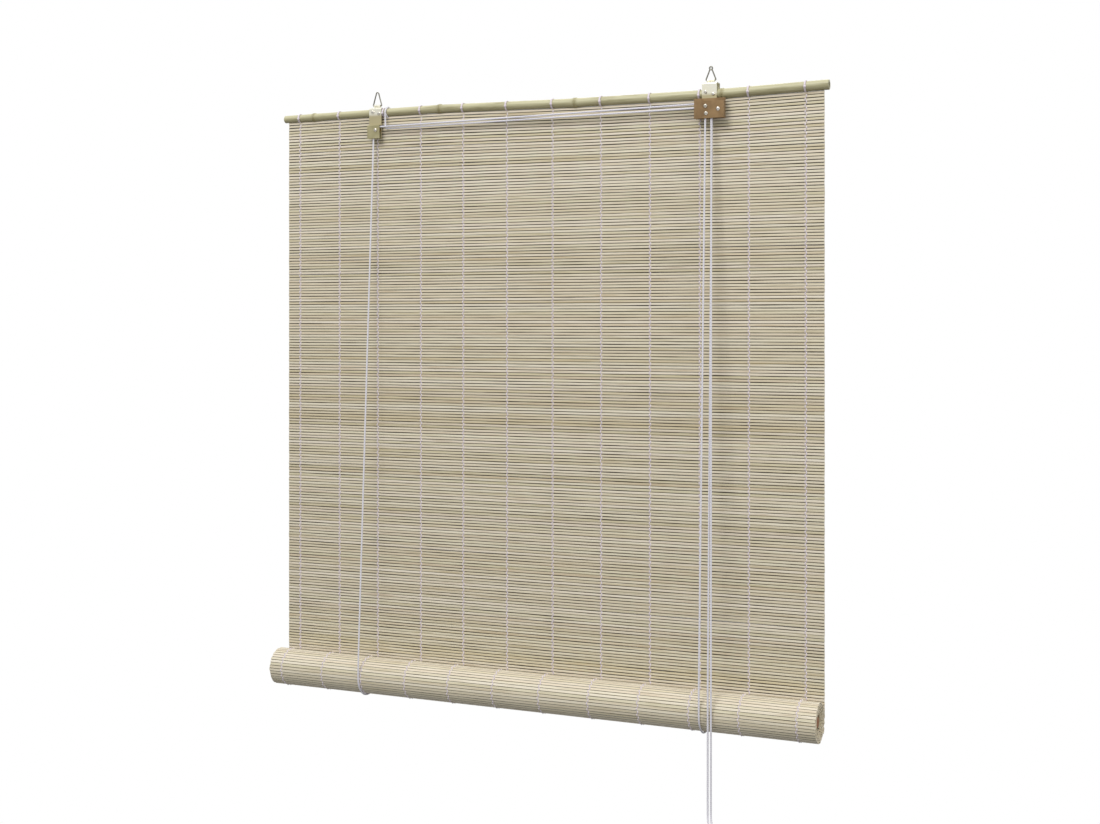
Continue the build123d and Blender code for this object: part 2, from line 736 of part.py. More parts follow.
def cord_tube(points, radii, name):
    """Sweep a cord along straight runs joined by tangent arcs, and print how it bends."""
    with BuildPart() as tube:
        with BuildLine() as route:
            FilletPolyline(*points, radius=radii)
        with BuildSketch(Plane(origin=points[0], z_dir=Vector(*points[1]) - Vector(*points[0]))):
            Circle(cord_radius)
        sweep()
    length = route.wires()[0].length
    fill = tube.part.volume / (pi * cord_radius**2 * length)
    print(name, "length", round(length, 1), "radii", [round(r, 1) for r in radii], "fill", round(fill, 3))
    return tube


# Lift cords: each is tied behind, runs under the roll and comes up in front
loop_front_y = roll_y - loop_radius
loop_back_y = roll_y + loop_radius
stub_top = roll_z + loop_stub
fall_tops = {
    "left": (left_wheel[0] - wheel_pitch_radius, -cord_depth, wheel_height - wheel_radius - cord_lead),
    "right": (right_x + lock_entry_offset_x, front_cord_y, lock_bottom - cord_lead),
}
loop_places = {"left": fall_tops["left"][0], "right": right_x}
for hanger, hanger_x, back_cord_z in (
    ("left", left_x, left_back_cord_z),
    ("right", right_x, right_back_cord_z),
):
    top_x, top_y, top_z = fall_tops[hanger]
    loop_x = loop_places[hanger]
    stub_share = loop_stub / (top_z - roll_z)
    stub_x = loop_x + stub_share * (top_x - loop_x)
    stub_y = loop_front_y + stub_share * (top_y - loop_front_y)

    with BuildPart() as front_fall:
        with BuildSketch(Plane.XY.offset(stub_top + facing)):
            with Locations((stub_x, stub_y)):
                Circle(cord_radius)
        with BuildSketch(Plane.XY.offset(top_z - facing)):
            with Locations((top_x, top_y)):
                Circle(cord_radius)
        loft(ruled=True)
    export_node(front_fall.part, f"{hanger}_lift_cord_front")

    with BuildPart() as cord_loop:
        with BuildSketch(Plane.XY.offset(roll_z)):
            with Locations((loop_x, loop_front_y)):
                Circle(cord_radius)
        revolve(axis=Axis((0, roll_y, roll_z), (1, 0, 0)), revolution_arc=180)
        with BuildSketch(Plane.XY.offset(roll_z)):
            with Locations((loop_x, loop_back_y)):
                Circle(cord_radius)
        extrude(amount=loop_stub)
        with BuildSketch(Plane.XY.offset(roll_z)):
            with Locations((loop_x, loop_front_y)):
                Circle(cord_radius)
        with BuildSketch(Plane.XY.offset(stub_top)):
            with Locations((stub_x, stub_y)):
                Circle(cord_radius)
        loft(ruled=True)
    export_node(cord_loop.part, f"{hanger}_lift_cord_loop")

    back_bottom = back_cord_z - back_knot_drop
    with BuildPart() as back_fall:
        with BuildSketch(Plane.XY.offset(stub_top + facing)):
            with Locations((loop_x, loop_back_y)):
                Circle(cord_radius)
        with BuildSketch(Plane.XY.offset(back_bottom - facing)):
            with Locations((hanger_x, loop_back_y)):
                Circle(cord_radius)
        loft(ruled=True)
    export_node(back_fall.part, f"{hanger}_lift_cord_back")

    knot_y = strap_face(hanger_x) + knot_radius + facing
    knot_route = [
        (hanger_x, loop_back_y, back_bottom),
        (hanger_x, loop_back_y, back_cord_z),
        (hanger_x, knot_y, back_cord_z),
    ]
    with BuildPart() as cord_knot:
        with BuildLine():
            FilletPolyline(*knot_route, radius=cord_radius + seat)
        with BuildSketch(Plane.XY.offset(back_bottom)):
            with Locations((hanger_x, loop_back_y)):
                Circle(cord_radius)
        sweep()
        with Locations((hanger_x, knot_y, back_cord_z)):
            Sphere(knot_radius)
    export_node(cord_knot.part, f"{hanger}_lift_cord_knot")

# Cross cord: over the pulley, along under the pole, over the lock roller and out below
lock_cord_left_x = lock_roller_place[0] - lock_pitch_radius
lock_cord_right_x = lock_roller_place[0] + lock_pitch_radius
roller_top_z = lock_roller_height + lock_pitch_radius
lock_exit_x = right_x + lock_exit_offset_x
lock_exit_z = lock_bottom - cord_lead
cross_route = [
    fall_tops["left"],
    (fall_tops["left"][0], -cord_depth, wheel_height + wheel_pitch_radius),
    (lock_cord_right_x, rear_cord_y, roller_top_z),
    (lock_cord_right_x, rear_cord_y, exit_lane_height),
    (lock_exit_x, rear_cord_y, exit_bend_height),
    (lock_exit_x, rear_cord_y, lock_exit_z),
]
cross_radii = [wheel_pitch_radius - facing, lock_pitch_radius, *corner_radii(cross_route[2:])]
cross_cord = cord_tube(cross_route, cross_radii, "cross_cord")
export_node(cross_cord.part, "cross_cord")

# Right lift cord inside the lock: up beside the pin, over the roller and out below
lock_route = [
    (fall_tops["right"][0], front_cord_y, lock_exit_z),
    (fall_tops["right"][0], front_cord_y, entry_bend_height),
    (lock_cord_left_x, front_cord_y, entry_lane_height),
    (lock_cord_left_x, front_cord_y, roller_top_z),
    (lock_cord_right_x, front_cord_y, roller_top_z),
    (lock_cord_right_x, front_cord_y, exit_lane_height),
    (lock_exit_x, front_cord_y, exit_bend_height),
    (lock_exit_x, front_cord_y, lock_exit_z),
]
lock_radii = [
    *corner_radii(lock_route[:4]),
    lock_pitch_radius - facing,
    lock_pitch_radius - facing,
    *corner_radii(lock_route[4:]),
]
lock_cord = cord_tube(lock_route, lock_radii, "lock_cord")
export_node(lock_cord.part, "lock_cord")

# Tail of the cross cord: knotted behind the lock, led back and hitched round the pole
hitch_radius = seat_radius(hitch_x, 2 * cord_radius) + cord_radius
hitch_knot = (hitch_x, -hitch_radius - cord_lead, pole_centre(hitch_x))
tail_knot = (tail_hole[0], -lock_back + knot_radius + facing, tail_hole[1])
tail_route = [
    tail_knot,
    (tail_hole[0], -lock_middle, tail_hole[1]),
    (hitch_x, side_play - hitch_radius, wheel_height + tail_end_rise),
    hitch_knot,
]
tail_cord = cord_tube(tail_route, [tail_hole_bend, tail_end_bend], "cross_cord_tail")
with BuildPart() as cross_cord_tail:
    add(tail_cord.part)
    with Locations(tail_knot, hitch_knot):
        Sphere(knot_radius)
    with BuildSketch(Plane.XY.offset(pole_centre(hitch_x))):
        with Locations((hitch_x, -hitch_radius)):
            Circle(cord_radius)
    revolve(axis=Axis((0, 0, pole_centre(hitch_x)), (1, 0, 0)))
export_node(cross_cord_tail.part, "cross_cord_tail")

# Pull cords: two strands that hang from the lock, lean on the roll and end in one tied hank
contact_y = loop_front_y - pull_stand_off
pull_lead_z = lock_exit_z - pull_lead_drop
hank_top = roll_z - hank_drop
for side, exit_y in (("left", rear_cord_y), ("right", front_cord_y)):
    pull_x = right_x + pull_offsets_x[side]
    upper_route = [
        (lock_exit_x, exit_y, lock_exit_z - facing),
        (lock_exit_x + pull_lead_shifts[side], exit_y - pull_lead_lean, pull_lead_z),
        (pull_x, contact_y, stub_top),
    ]
    upper_cord = cord_tube(upper_route, corner_radii(upper_route), f"{side}_pull_cord")
    export_node(upper_cord.part, f"{side}_pull_cord")
    with BuildPart() as lower_cord:
        with BuildSketch(Plane.XY.offset(hank_top + facing)):
            with Locations((pull_x, contact_y)):
                Circle(cord_radius)
        extrude(amount=stub_top - hank_top - 2 * facing)
    export_node(lower_cord.part, f"{side}_pull_cord_lower")

# Hank of the pull cords, its tie and the knots at their ends
hank_width, hank_depth, hank_height = hank_size
hank_x = right_x + hank_offset_x
hank_z = hank_top - hank_height / 2
hank_bottom = hank_top - hank_height
with BuildPart() as pull_cord_hank:
    with BuildSketch(Plane.XY.offset(hank_bottom)):
        with Locations((hank_x, contact_y)):
            RectangleRounded(hank_width, hank_depth, hank_corner_radius)
    extrude(amount=hank_height)
    fillet(pull_cord_hank.faces().filter_by(Axis.Z).edges(), radius=hank_corner_radius / 2)
export_node(pull_cord_hank.part, "pull_cord_hank")

tie_inside = (hank_width + 2 * seat, hank_depth + 2 * seat)
tie_outside = (tie_inside[0] + 2 * hank_tie_wall, tie_inside[1] + 2 * hank_tie_wall)
with BuildPart() as hank_tie:
    with BuildSketch(Plane.XY.offset(hank_z - hank_tie_height / 2)):
        with Locations((hank_x, contact_y)):
            RectangleRounded(*tie_outside, hank_corner_radius + hank_tie_wall)
            RectangleRounded(*tie_inside, hank_corner_radius, mode=Mode.SUBTRACT)
    extrude(amount=hank_tie_height)
    chamfer(hank_tie.faces().filter_by(Axis.Z).edges(), length=0.4 * hank_tie_wall)
export_node(hank_tie.part, "hank_tie")

with BuildPart() as pull_cord_knots:
    for side in ("left", "right"):
        knot_place = (right_x + pull_offsets_x[side], contact_y - end_knot_leans[side])
        with BuildSketch(Plane.XY.offset(hank_bottom - end_knot_drops[side])):
            with Locations(knot_place):
                Circle(cord_radius)
        extrude(amount=end_knot_drops[side] - facing)
        with Locations((*knot_place, hank_bottom - end_knot_drops[side])):
            Sphere(end_knot_radius)
export_node(pull_cord_knots.part, "pull_cord_knots")
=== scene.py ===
"""Bamboo roll up blind, half lowered: its looks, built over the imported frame."""

import logging
import math
from dataclasses import dataclass
from enum import Enum
from random import Random

import bpy
import numpy as np
from bpy.types import Material, Mesh, Node, NodeSocket, NodeTree, Object
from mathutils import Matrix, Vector


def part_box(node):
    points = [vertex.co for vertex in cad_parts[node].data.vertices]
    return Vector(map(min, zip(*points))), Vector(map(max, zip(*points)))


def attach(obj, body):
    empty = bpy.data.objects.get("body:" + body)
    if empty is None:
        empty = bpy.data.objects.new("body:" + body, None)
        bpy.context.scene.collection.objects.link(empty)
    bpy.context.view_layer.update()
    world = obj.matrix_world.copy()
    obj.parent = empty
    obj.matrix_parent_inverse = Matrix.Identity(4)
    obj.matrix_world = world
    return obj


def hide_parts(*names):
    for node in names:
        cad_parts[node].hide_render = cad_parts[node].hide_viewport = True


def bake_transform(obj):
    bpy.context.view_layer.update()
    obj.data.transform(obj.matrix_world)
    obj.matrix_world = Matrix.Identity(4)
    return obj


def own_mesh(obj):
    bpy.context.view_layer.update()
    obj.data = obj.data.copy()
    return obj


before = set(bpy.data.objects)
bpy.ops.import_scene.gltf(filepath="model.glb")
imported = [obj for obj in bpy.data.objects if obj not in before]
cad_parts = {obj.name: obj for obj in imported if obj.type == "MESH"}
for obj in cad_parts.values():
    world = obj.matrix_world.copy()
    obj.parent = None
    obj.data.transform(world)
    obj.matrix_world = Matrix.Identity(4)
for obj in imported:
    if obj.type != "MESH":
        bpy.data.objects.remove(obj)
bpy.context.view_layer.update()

MM = 0.001
# One value along each axis.
Point = tuple[float, float, float]
log = logging.getLogger("blind")


class Body(Enum):
    """Bodies of the frame that pieces ride on."""

    HEADRAIL = "headrail"
    CARRIAGE = "roll_carriage"
    ROLL = "roll"
    PULL_END = "pull_end"


class Slot(Enum):
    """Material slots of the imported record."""

    REEDS = "bamboo_reeds"
    POLE = "bamboo_pole"
    THREAD = "warp_thread"
    CORD = "white_cord"


def linear(code: str) -> tuple[float, ...]:
    """Turn an sRGB hex colour into the linear colour a shader takes.

    Args:
        code: Colour such as "#d5c9a8".

    Returns:
        Red, green, blue and alpha, the first three linear.
    """
    values = [int(code[place : place + 2], 16) / 255 for place in (1, 3, 5)]
    return (*[v / 12.92 if v <= 0.04045 else ((v + 0.055) / 1.055) ** 2.4 for v in values], 1.0)


def add_node(
    tree: NodeTree, kind: str, inputs: dict[str | int, object] | None = None, **settings: object
) -> Node:
    """Add one node with its settings, values and links.

    Args:
        tree: Node tree that takes the node.
        kind: Name of the node's type, without the word ShaderNode.
        inputs: Value, output or node for each input, by name or number; a node gives its first output.
        **settings: Attributes of the node itself.

    Returns:
        The new node.
    """
    node = tree.nodes.new(f"ShaderNode{kind}")
    for name, value in settings.items():
        setattr(node, name, value)
    for key, value in (inputs or {}).items():
        if isinstance(value, Node):
            value = value.outputs[0]
        if isinstance(value, NodeSocket):
            tree.links.new(value, node.inputs[key])
        else:
            node.inputs[key].default_value = value
    return node


@dataclass(frozen=True)
class Finish:
    """What one surface is made of: one plain colour here, and a pattern in each kind of finish."""

    name: str
    roughness: float
    metallic: float = 0.0
    light: str = "#ffffff"

    def make(self) -> Material:
        """Build the material.

        Returns:
            The finished material.
        """
        material = bpy.data.materials.new(self.name)
        material.use_nodes = True
        tree = material.node_tree
        shader = tree.nodes["Principled BSDF"]
        shader.inputs["Roughness"].default_value = self.roughness
        shader.inputs["Metallic"].default_value = self.metallic
        self.paint(tree, shader)
        return material

    def paint(self, tree: NodeTree, shader: Node) -> None:
        """Set the plain colour.

        Args:
            tree: Node tree of the material.
            shader: Its Principled shader.
        """
        shader.inputs["Base Color"].default_value = linear(self.light)


@dataclass(frozen=True)
class Fibre(Finish):
    """Split or whole bamboo and wood: long fibres along X, blotches, a tone for each reed, and painted shade
    on each reed's edges for the grooves between reeds; on the culm and the roll's core the tone also carries
    painted shade.
    """

    dark: str = "#888888"
    stain: str = "#555555"
    fibre_mm: Point = (90.0, 0.7, 0.7)
    blotch_mm: Point = (70.0, 5.0, 5.0)
    # Colour of the painted shade on each reed's upper and lower edges, where the grooves between reeds are.
    edge: str = ""
    tone_share: float = 0.5
    stain_share: float = 0.5
    tint_share: float = 0.0
    relief_mm: float = 0.12

    def paint(self, tree: NodeTree, shader: Node) -> None:
        """Add fibres, blotches, stains, the painted groove shade and relief.

        Args:
            tree: Node tree of the material.
            shader: Its Principled shader.
        """
        place = add_node(tree, "TexCoord").outputs["Object"]
        noises = []
        for sizes, detail in ((self.fibre_mm, 3.0), (self.blotch_mm, 4.0)):
            scale = [1 / (size * MM) for size in sizes]
            drawn = add_node(tree, "Mapping", {"Vector": place, "Scale": scale})
            noises.append(add_node(tree, "TexNoise", {"Vector": drawn, "Scale": 1.0, "Detail": detail}))
        fibres, blotches = noises
        # The tone attribute: each reed's own tone; on the culm and in the roll's core it also carries
        # painted shade.
        tone = add_node(tree, "Attribute", attribute_name="tone").outputs["Fac"]
        reach = {"From Min": 0.3, "From Max": 0.7, "To Max": 1.0 - self.tone_share}
        streaks = add_node(tree, "MapRange", {"Value": fibres, **reach})
        sums = {0: tone, 1: self.tone_share, 2: streaks}
        shade = add_node(tree, "Math", sums, operation="MULTIPLY_ADD")
        reach = {"From Min": 0.55, "From Max": 0.75, "To Max": self.stain_share}
        stained = add_node(tree, "MapRange", {"Value": blotches, **reach})
        colours = {0: shade, 6: linear(self.light), 7: linear(self.dark)}
        ground = add_node(tree, "Mix", colours, data_type="RGBA")
        colours = {0: stained, 6: ground.outputs[2], 7: linear(self.stain)}
        colour = add_node(tree, "Mix", colours, data_type="RGBA")
        pick = add_node(tree, "TexWhiteNoise", {"W": tone}, noise_dimensions="1D")
        colours = {0: self.tint_share, 6: colour.outputs[2], 7: pick.outputs["Color"]}
        colour = add_node(tree, "Mix", colours, data_type="RGBA", blend_type="SOFT_LIGHT")
        # Painted shade: the reed's upper and lower edges darken towards the edge colour, as the grooves
        # between reeds, broken up by the blotches.
        if self.edge:
            groove = add_node(tree, "Attribute", attribute_name="groove").outputs["Fac"]
            sums = {0: blotches, 1: -1.1, 2: groove}
            uneven_groove_shade = add_node(tree, "Math", sums, operation="MULTIPLY_ADD")
            line = add_node(tree, "MapRange", {"Value": uneven_groove_shade, "From Min": -0.3, "From Max": 0.0})
            colours = {0: line, 6: colour.outputs[2], 7: linear(self.edge)}
            colour = add_node(tree, "Mix", colours, data_type="RGBA")
        tree.links.new(colour.outputs[2], shader.inputs["Base Color"])
        rise = {"Height": fibres, "Distance": self.relief_mm * MM, "Strength": 0.8}
        relief = add_node(tree, "Bump", rise)
        tree.links.new(relief.outputs[0], shader.inputs["Normal"])
        reach = {"To Min": self.roughness - 0.1, "To Max": min(1.0, self.roughness + 0.1)}
        gloss = add_node(tree, "MapRange", {"Value": fibres, **reach})
        tree.links.new(gloss.outputs[0], shader.inputs["Roughness"])


@dataclass(frozen=True)
class Yarn(Finish):
    """Cotton thread or braided cord: plaited strands over the piece's own UV map, in metres."""

    shadow: str = "#b9b4bc"
    plait_mm: float = 5.0
    strands: int = 4
    relief_mm: float = 0.15

    def paint(self, tree: NodeTree, shader: Node) -> None:
        """Add the plait, its shadow lines and its relief.

        Args:
            tree: Node tree of the material.
            shader: Its Principled shader.
        """
        uv = add_node(tree, "TexCoord").outputs["UV"]
        parts = add_node(tree, "SeparateXYZ", {0: uv})
        round_turns = {0: parts.outputs[1], 1: math.tau * self.strands}
        turn = add_node(tree, "Math", round_turns, operation="MULTIPLY")
        waves = []
        for direction in (-1, 1):
            sums = {0: parts.outputs[0], 1: direction * math.tau / (self.plait_mm * MM), 2: turn}
            phase = add_node(tree, "Math", sums, operation="MULTIPLY_ADD")
            waves.append(add_node(tree, "Math", {0: phase}, operation="SINE"))
        plait = add_node(tree, "Math", {0: waves[0], 1: waves[1]}, operation="MAXIMUM")
        height = add_node(tree, "MapRange", {"Value": plait, "From Min": -0.6, "From Max": 1.0})
        colours = {0: height, 6: linear(self.shadow), 7: linear(self.light)}
        colour = add_node(tree, "Mix", colours, data_type="RGBA")
        tree.links.new(colour.outputs[2], shader.inputs["Base Color"])
        rise = {"Height": height, "Distance": self.relief_mm * MM, "Strength": 0.7}
        relief = add_node(tree, "Bump", rise)
        tree.links.new(relief.outputs[0], shader.inputs["Normal"])
        shader.inputs["Sheen Weight"].default_value = 0.3


@dataclass(frozen=True)
class Metal(Finish):
    """Plated, lacquered or bare metal: fine drawing lines, smudges, dull patches, and a painted reflection
    on the lower part where one is set.
    """

    dark: str = "#888888"
    line_mm: Point = (6.0, 0.25, 0.25)
    # Colour of a painted reflection on the lower part, below foot_top_mm.
    painted_low_reflection: str = ""
    foot_top_mm: float = -30.5
    foot_fade_mm: float = 4.0
    smudge_mm: float = 14.0
    dulling: float = 0.12
    coat: float = 0.0

    def paint(self, tree: NodeTree, shader: Node) -> None:
        """Add drawing lines, smudges, the painted reflection on the lower part and the coat.

        Args:
            tree: Node tree of the material.
            shader: Its Principled shader.
        """
        place = add_node(tree, "TexCoord").outputs["Object"]
        scale = [1 / (size * MM) for size in self.line_mm]
        drawn = add_node(tree, "Mapping", {"Vector": place, "Scale": scale})
        lines = add_node(tree, "TexNoise", {"Vector": drawn, "Scale": 1.0, "Detail": 2.0})
        smudge = {"Vector": place, "Scale": 1 / (self.smudge_mm * MM), "Detail": 4.0}
        smudges = add_node(tree, "TexNoise", smudge)
        patches = add_node(tree, "MapRange", {"Value": smudges, "From Min": 0.35, "From Max": 0.7})
        colours = {0: patches, 6: linear(self.light), 7: linear(self.dark)}
        colour = add_node(tree, "Mix", colours, data_type="RGBA")
        # Painted reflection: below foot_top_mm the colour fades to a darker, yellower one.
        if self.painted_low_reflection:
            height = add_node(tree, "SeparateXYZ", {0: place}).outputs[2]
            top, bottom = self.foot_top_mm * MM, (self.foot_top_mm - self.foot_fade_mm) * MM
            low = add_node(tree, "MapRange", {"Value": height, "From Min": top, "From Max": bottom})
            colours = {0: low, 6: colour.outputs[2], 7: linear(self.painted_low_reflection)}
            colour = add_node(tree, "Mix", colours, data_type="RGBA")
        tree.links.new(colour.outputs[2], shader.inputs["Base Color"])
        dullest = self.roughness + self.dulling
        reach = {"From Min": 0.3, "From Max": 0.7, "To Min": self.roughness, "To Max": dullest}
        gloss = add_node(tree, "MapRange", {"Value": smudges, **reach})
        tree.links.new(gloss.outputs[0], shader.inputs["Roughness"])
        relief = add_node(tree, "Bump", {"Height": lines, "Distance": 0.002 * MM, "Strength": 0.3})
        tree.links.new(relief.outputs[0], shader.inputs["Normal"])
        shader.inputs["Coat Weight"].default_value = self.coat
        shader.inputs["Coat Roughness"].default_value = 0.2


class Finishes:
    """One material for each finish of the blind."""

    def __init__(self) -> None:
        """Make all materials."""
        # Split bamboo reed, sawn and dried: straw-coloured, dull, with short brown stains, and painted shade
        # on each reed's edges for the grooves between reeds.
        straw = {"light": "#f5edda", "dark": "#cbbc97", "stain": "#ab976c", "edge": "#342910"}
        self.reeds = Fibre("split_bamboo_reed", 0.65, tint_share=0.06, relief_mm=0.07, **straw).make()
        # Outer skin of a thin green culm: waxy, olive, with long pale streaks; its tone adds painted shade
        # on the underside and darker knuckles.
        olive = {"light": "#d3cfaa", "dark": "#81764a", "stain": "#7c7146", "tone_share": 0.7}
        streaks = {"fibre_mm": (60.0, 1.2, 1.2), "blotch_mm": (45.0, 8.0, 8.0), "relief_mm": 0.08}
        self.culm = Fibre("green_bamboo_skin", 0.42, **olive, **streaks).make()
        # Turned softwood rod, stained red-brown.
        red_brown = {"light": "#a5704c", "dark": "#7a4a2e", "stain": "#5c3622"}
        self.rod = Fibre("stained_wooden_rod", 0.55, **red_brown).make()
        # Twisted cotton thread, bleached.
        twist = {"plait_mm": 2.0, "strands": 2, "relief_mm": 0.08}
        self.thread = Yarn("twisted_cotton_thread", 0.85, light="#f3eaf1", shadow="#c6b9c3", **twist).make()
        # Braided polyester cord, white with a cool cast.
        self.cord = Yarn("braided_white_cord", 0.7, light="#f4f3f8", shadow="#bdb8c6").make()
        # Nickel-plated pressed steel, bright but hazy, with a painted reflection that makes its lower legs
        # darker and yellower.
        cream = {"light": "#fbf8e8", "dark": "#eeebd6", "painted_low_reflection": "#cabf98"}
        self.nickel = Metal("nickel_plated_steel", 0.28, 0.55, **cream).make()
        # Pressed steel, dull with an olive passivation.
        self.passivated = Metal("passivated_steel", 0.42, 0.3, light="#b5ad86", dark="#9c946d").make()
        # Bright drawn steel wire.
        self.wire = Metal("bright_steel_wire", 0.3, 0.8, light="#a3a197", dark="#7b786c").make()
        # Pressed steel under golden-brown lacquer.
        golden = {"light": "#a08158", "dark": "#7e6340"}
        self.lacquer = Metal("brown_lacquered_steel", 0.38, 0.5, coat=0.4, **golden).make()
        # Polished steel rivet and screw heads.
        self.rivet = Metal("polished_steel_rivet", 0.18, 1.0, light="#f0ece4", dark="#c9c3b6").make()
        # Turned brass wheel and roller.
        self.brass = Metal("turned_brass", 0.3, 1.0, light="#d0ad66", dark="#9c7c3c").make()


def smooth_line(points: list[Point], steps: int = 24) -> list[Vector]:
    """Read the smooth line of a cord's route.

    Args:
        points: Control points of the route, in metres.
        steps: Points on the line for each control point.

    Returns:
        Points along the route's spline.
    """
    curve = bpy.data.curves.new("route", "CURVE")
    curve.dimensions = "3D"
    curve.resolution_u = steps
    spline = curve.splines.new("NURBS")
    spline.points.add(len(points) - 1)
    for control, place in zip(spline.points, points):
        control.co = (*place, 1.0)
    spline.order_u = 3
    spline.use_endpoint_u = True
    holder = bpy.data.objects.new("route", curve)
    mesh = bpy.data.meshes.new_from_object(holder)
    line = [vertex.co.copy() for vertex in mesh.vertices]
    bpy.data.objects.remove(holder)
    bpy.data.curves.remove(curve)
    bpy.data.meshes.remove(mesh)
    return line


def length_of(line: list[Vector]) -> float:
    """Length along a line of points."""
    return sum((after - before).length for before, after in zip(line, line[1:]))


def ring_faces(rings: int, sides: int, base: int = 0) -> list[list[int]]:
    """Join rings of points into a closed tube.

    Args:
        rings: Number of rings.
        sides: Number of points in each ring.
        base: Number of the first ring's first point.

    Returns:
        Faces from ring to ring, then a cap at each end.
    """
    faces = []
    for number in range(rings - 1):
        for step in range(sides):
            ring, over = base + number * sides, (step + 1) % sides
            faces.append([ring + step, ring + over, ring + sides + over, ring + sides + step])
    end = base + (rings - 1) * sides
    faces.append([base + step for step in reversed(range(sides))])
    faces.append([end + step for step in range(sides)])
    return faces


def tube_mesh(name: str, lines: list[list[Vector]], radius: float, sides: int = 10) -> Mesh:
    """Build round tubes along lines, closed at both ends, with a UV map in metres along them.

    Args:
        name: Name of the mesh.
        lines: Points along each tube's middle, in metres.
        radius: Radius of the tubes.
        sides: Number of faces round each tube.

    Returns:
        One mesh with all the tubes.
    """
    points: list[Vector] = []
    faces: list[list[int]] = []
    uvs: list[tuple[float, float]] = []
    for middles in lines:
        # A ring close to each end keeps the flat cap from shading the last stretch of the tube.
        first, last = middles[0].lerp(middles[1], 0.01), middles[-1].lerp(middles[-2], 0.01)
        line = [middles[0], first, *middles[1:-1], last, middles[-1]]
        base = len(points)
        heading = (line[1] - line[0]).normalized()
        side = heading.orthogonal().normalized()
        run = 0.0
        runs = []
        for number, middle in enumerate(line):
            before, after = line[max(number - 1, 0)], line[min(number + 1, len(line) - 1)]
            turned = (after - before).normalized()
            side = heading.rotation_difference(turned) @ side
            heading = turned
            across = heading.cross(side)
            run += (middle - before).length if number else 0.0
            runs.append(run)
            for step in range(sides):
                angle = math.tau * step / sides
                points.append(middle + radius * (math.cos(angle) * side + math.sin(angle) * across))
        faces += ring_faces(len(line), sides, base)
        for near, far in zip(runs, runs[1:]):
            for step in range(sides):
                low, high = step / sides, (step + 1) / sides
                uvs += [(near, low), (near, high), (far, high), (far, low)]
        uvs += [(0.0, 0.0)] * (2 * sides)
    mesh = bpy.data.meshes.new(name)
    mesh.from_pydata(points, [], faces)
    layer = mesh.uv_layers.new(name="along")
    for loop, uv in zip(layer.data, uvs):
        loop.uv = uv
    mesh.polygons.foreach_set("use_smooth", [len(face) == 4 for face in faces])
    return mesh


class Bench:
    """Small jobs that every sub-assembly needs."""

    @staticmethod
    def clear() -> None:
        """Leave nothing selected."""
        bpy.ops.object.select_all(action="DESELECT")

    @staticmethod
    def place(mesh: Mesh) -> Object:
        """Put a mesh into the scene as a piece of the same name.

        Args:
            mesh: The mesh, in place.

        Returns:
            The new object.
        """
        piece = bpy.data.objects.new(mesh.name, mesh)
        bpy.context.scene.collection.objects.link(piece)
        return piece

    @staticmethod
    def dress(piece: Object, material: Material, slot: Slot, body: Body | None, *nodes: str) -> None:
        """Give a piece its material, its body and the nodes it stands for.

        Args:
            piece: The finished piece.
            material: Its material.
            slot: Not used.
            body: Body it rides on, or None where it blends.
            *nodes: Nodes of the frame that it replaces.
        """
        piece.data.materials.clear()
        piece.data.materials.append(material)
        if body is not None:
            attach(piece, body.value)
        if nodes:
            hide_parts(*nodes)
        log.info("%s: %d faces", piece.name, len(piece.data.polygons))

    @staticmethod
    def dress_node(node: str, material: Material) -> None:
        """Give a node of the frame a better material."""
        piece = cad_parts[node]
        piece.data.materials.clear()
        piece.data.materials.append(material)
        log.info("%s: frame node", node)


@dataclass
class Reed:
    """One split reed, modelled once and copied for the mat and the roll."""

    length: float = 800 * MM
    thickness: float = 1.8 * MM
    height: float = 4.2 * MM
    rounding: float = 1.0 * MM
    end_edge: float = 0.6 * MM
    cuts: int = 11

    def model(self) -> tuple[np.ndarray, list[list[int]]]:
        """Shape the reed from a cube: cut across, then rounded along its four long edges.

        Returns:
            Its points, centred on the origin, and its faces.
        """
        Bench.clear()
        bpy.ops.mesh.primitive_cube_add(size=1.0)
        reed = bpy.context.object
        bpy.ops.object.mode_set(mode="EDIT")
        bpy.ops.transform.resize(value=(self.length, self.thickness, self.height))
        self.pick_long_edges(reed)
        bpy.ops.mesh.subdivide(number_cuts=self.cuts)
        self.pick_long_edges(reed)
        bpy.ops.mesh.bevel(offset=self.rounding, segments=2, affect="EDGES")
        bpy.ops.object.mode_set(mode="OBJECT")
        points = np.array([vertex.co for vertex in reed.data.vertices])
        faces = [list(face.vertices) for face in reed.data.polygons]
        bpy.data.objects.remove(reed)
        outer_cut = self.length * (0.5 - 1 / (self.cuts + 1))
        near_end = np.isclose(np.abs(points[:, 0]), outer_cut, atol=MM)
        points[near_end, 0] = np.sign(points[near_end, 0]) * (self.length / 2 - self.end_edge)
        return points, faces

    def painted_groove_shade(self, points: np.ndarray) -> np.ndarray:
        """Paint shade on the reed's narrow edges, where the grooves between reeds are, but not on its broad
        faces and its ends.

        Args:
            points: Points of the reed.

        Returns:
            Painted shade on each point, from 0 to 1.
        """
        broad = self.height / 2 - self.rounding
        shade = np.clip((np.abs(points[:, 2]) - broad) / self.rounding, 0, 1)
        return np.where(np.abs(points[:, 0]) > self.length / 2 - 0.1 * MM, 0.0, shade)

    def pick_long_edges(self, reed: Object) -> None:
        """Select the edges that run along the reed, and no others.

        Args:
            reed: The reed, in edit mode before and after.
        """
        bpy.ops.mesh.select_mode(type="EDGE")
        bpy.ops.mesh.select_all(action="DESELECT")
        bpy.ops.object.mode_set(mode="OBJECT")
        places = [vertex.co for vertex in reed.data.vertices]
        for edge in reed.data.edges:
            run = places[edge.vertices[1]] - places[edge.vertices[0]]
            edge.select = abs(run.x) > 0.9 * run.length
        bpy.ops.object.mode_set(mode="EDIT")


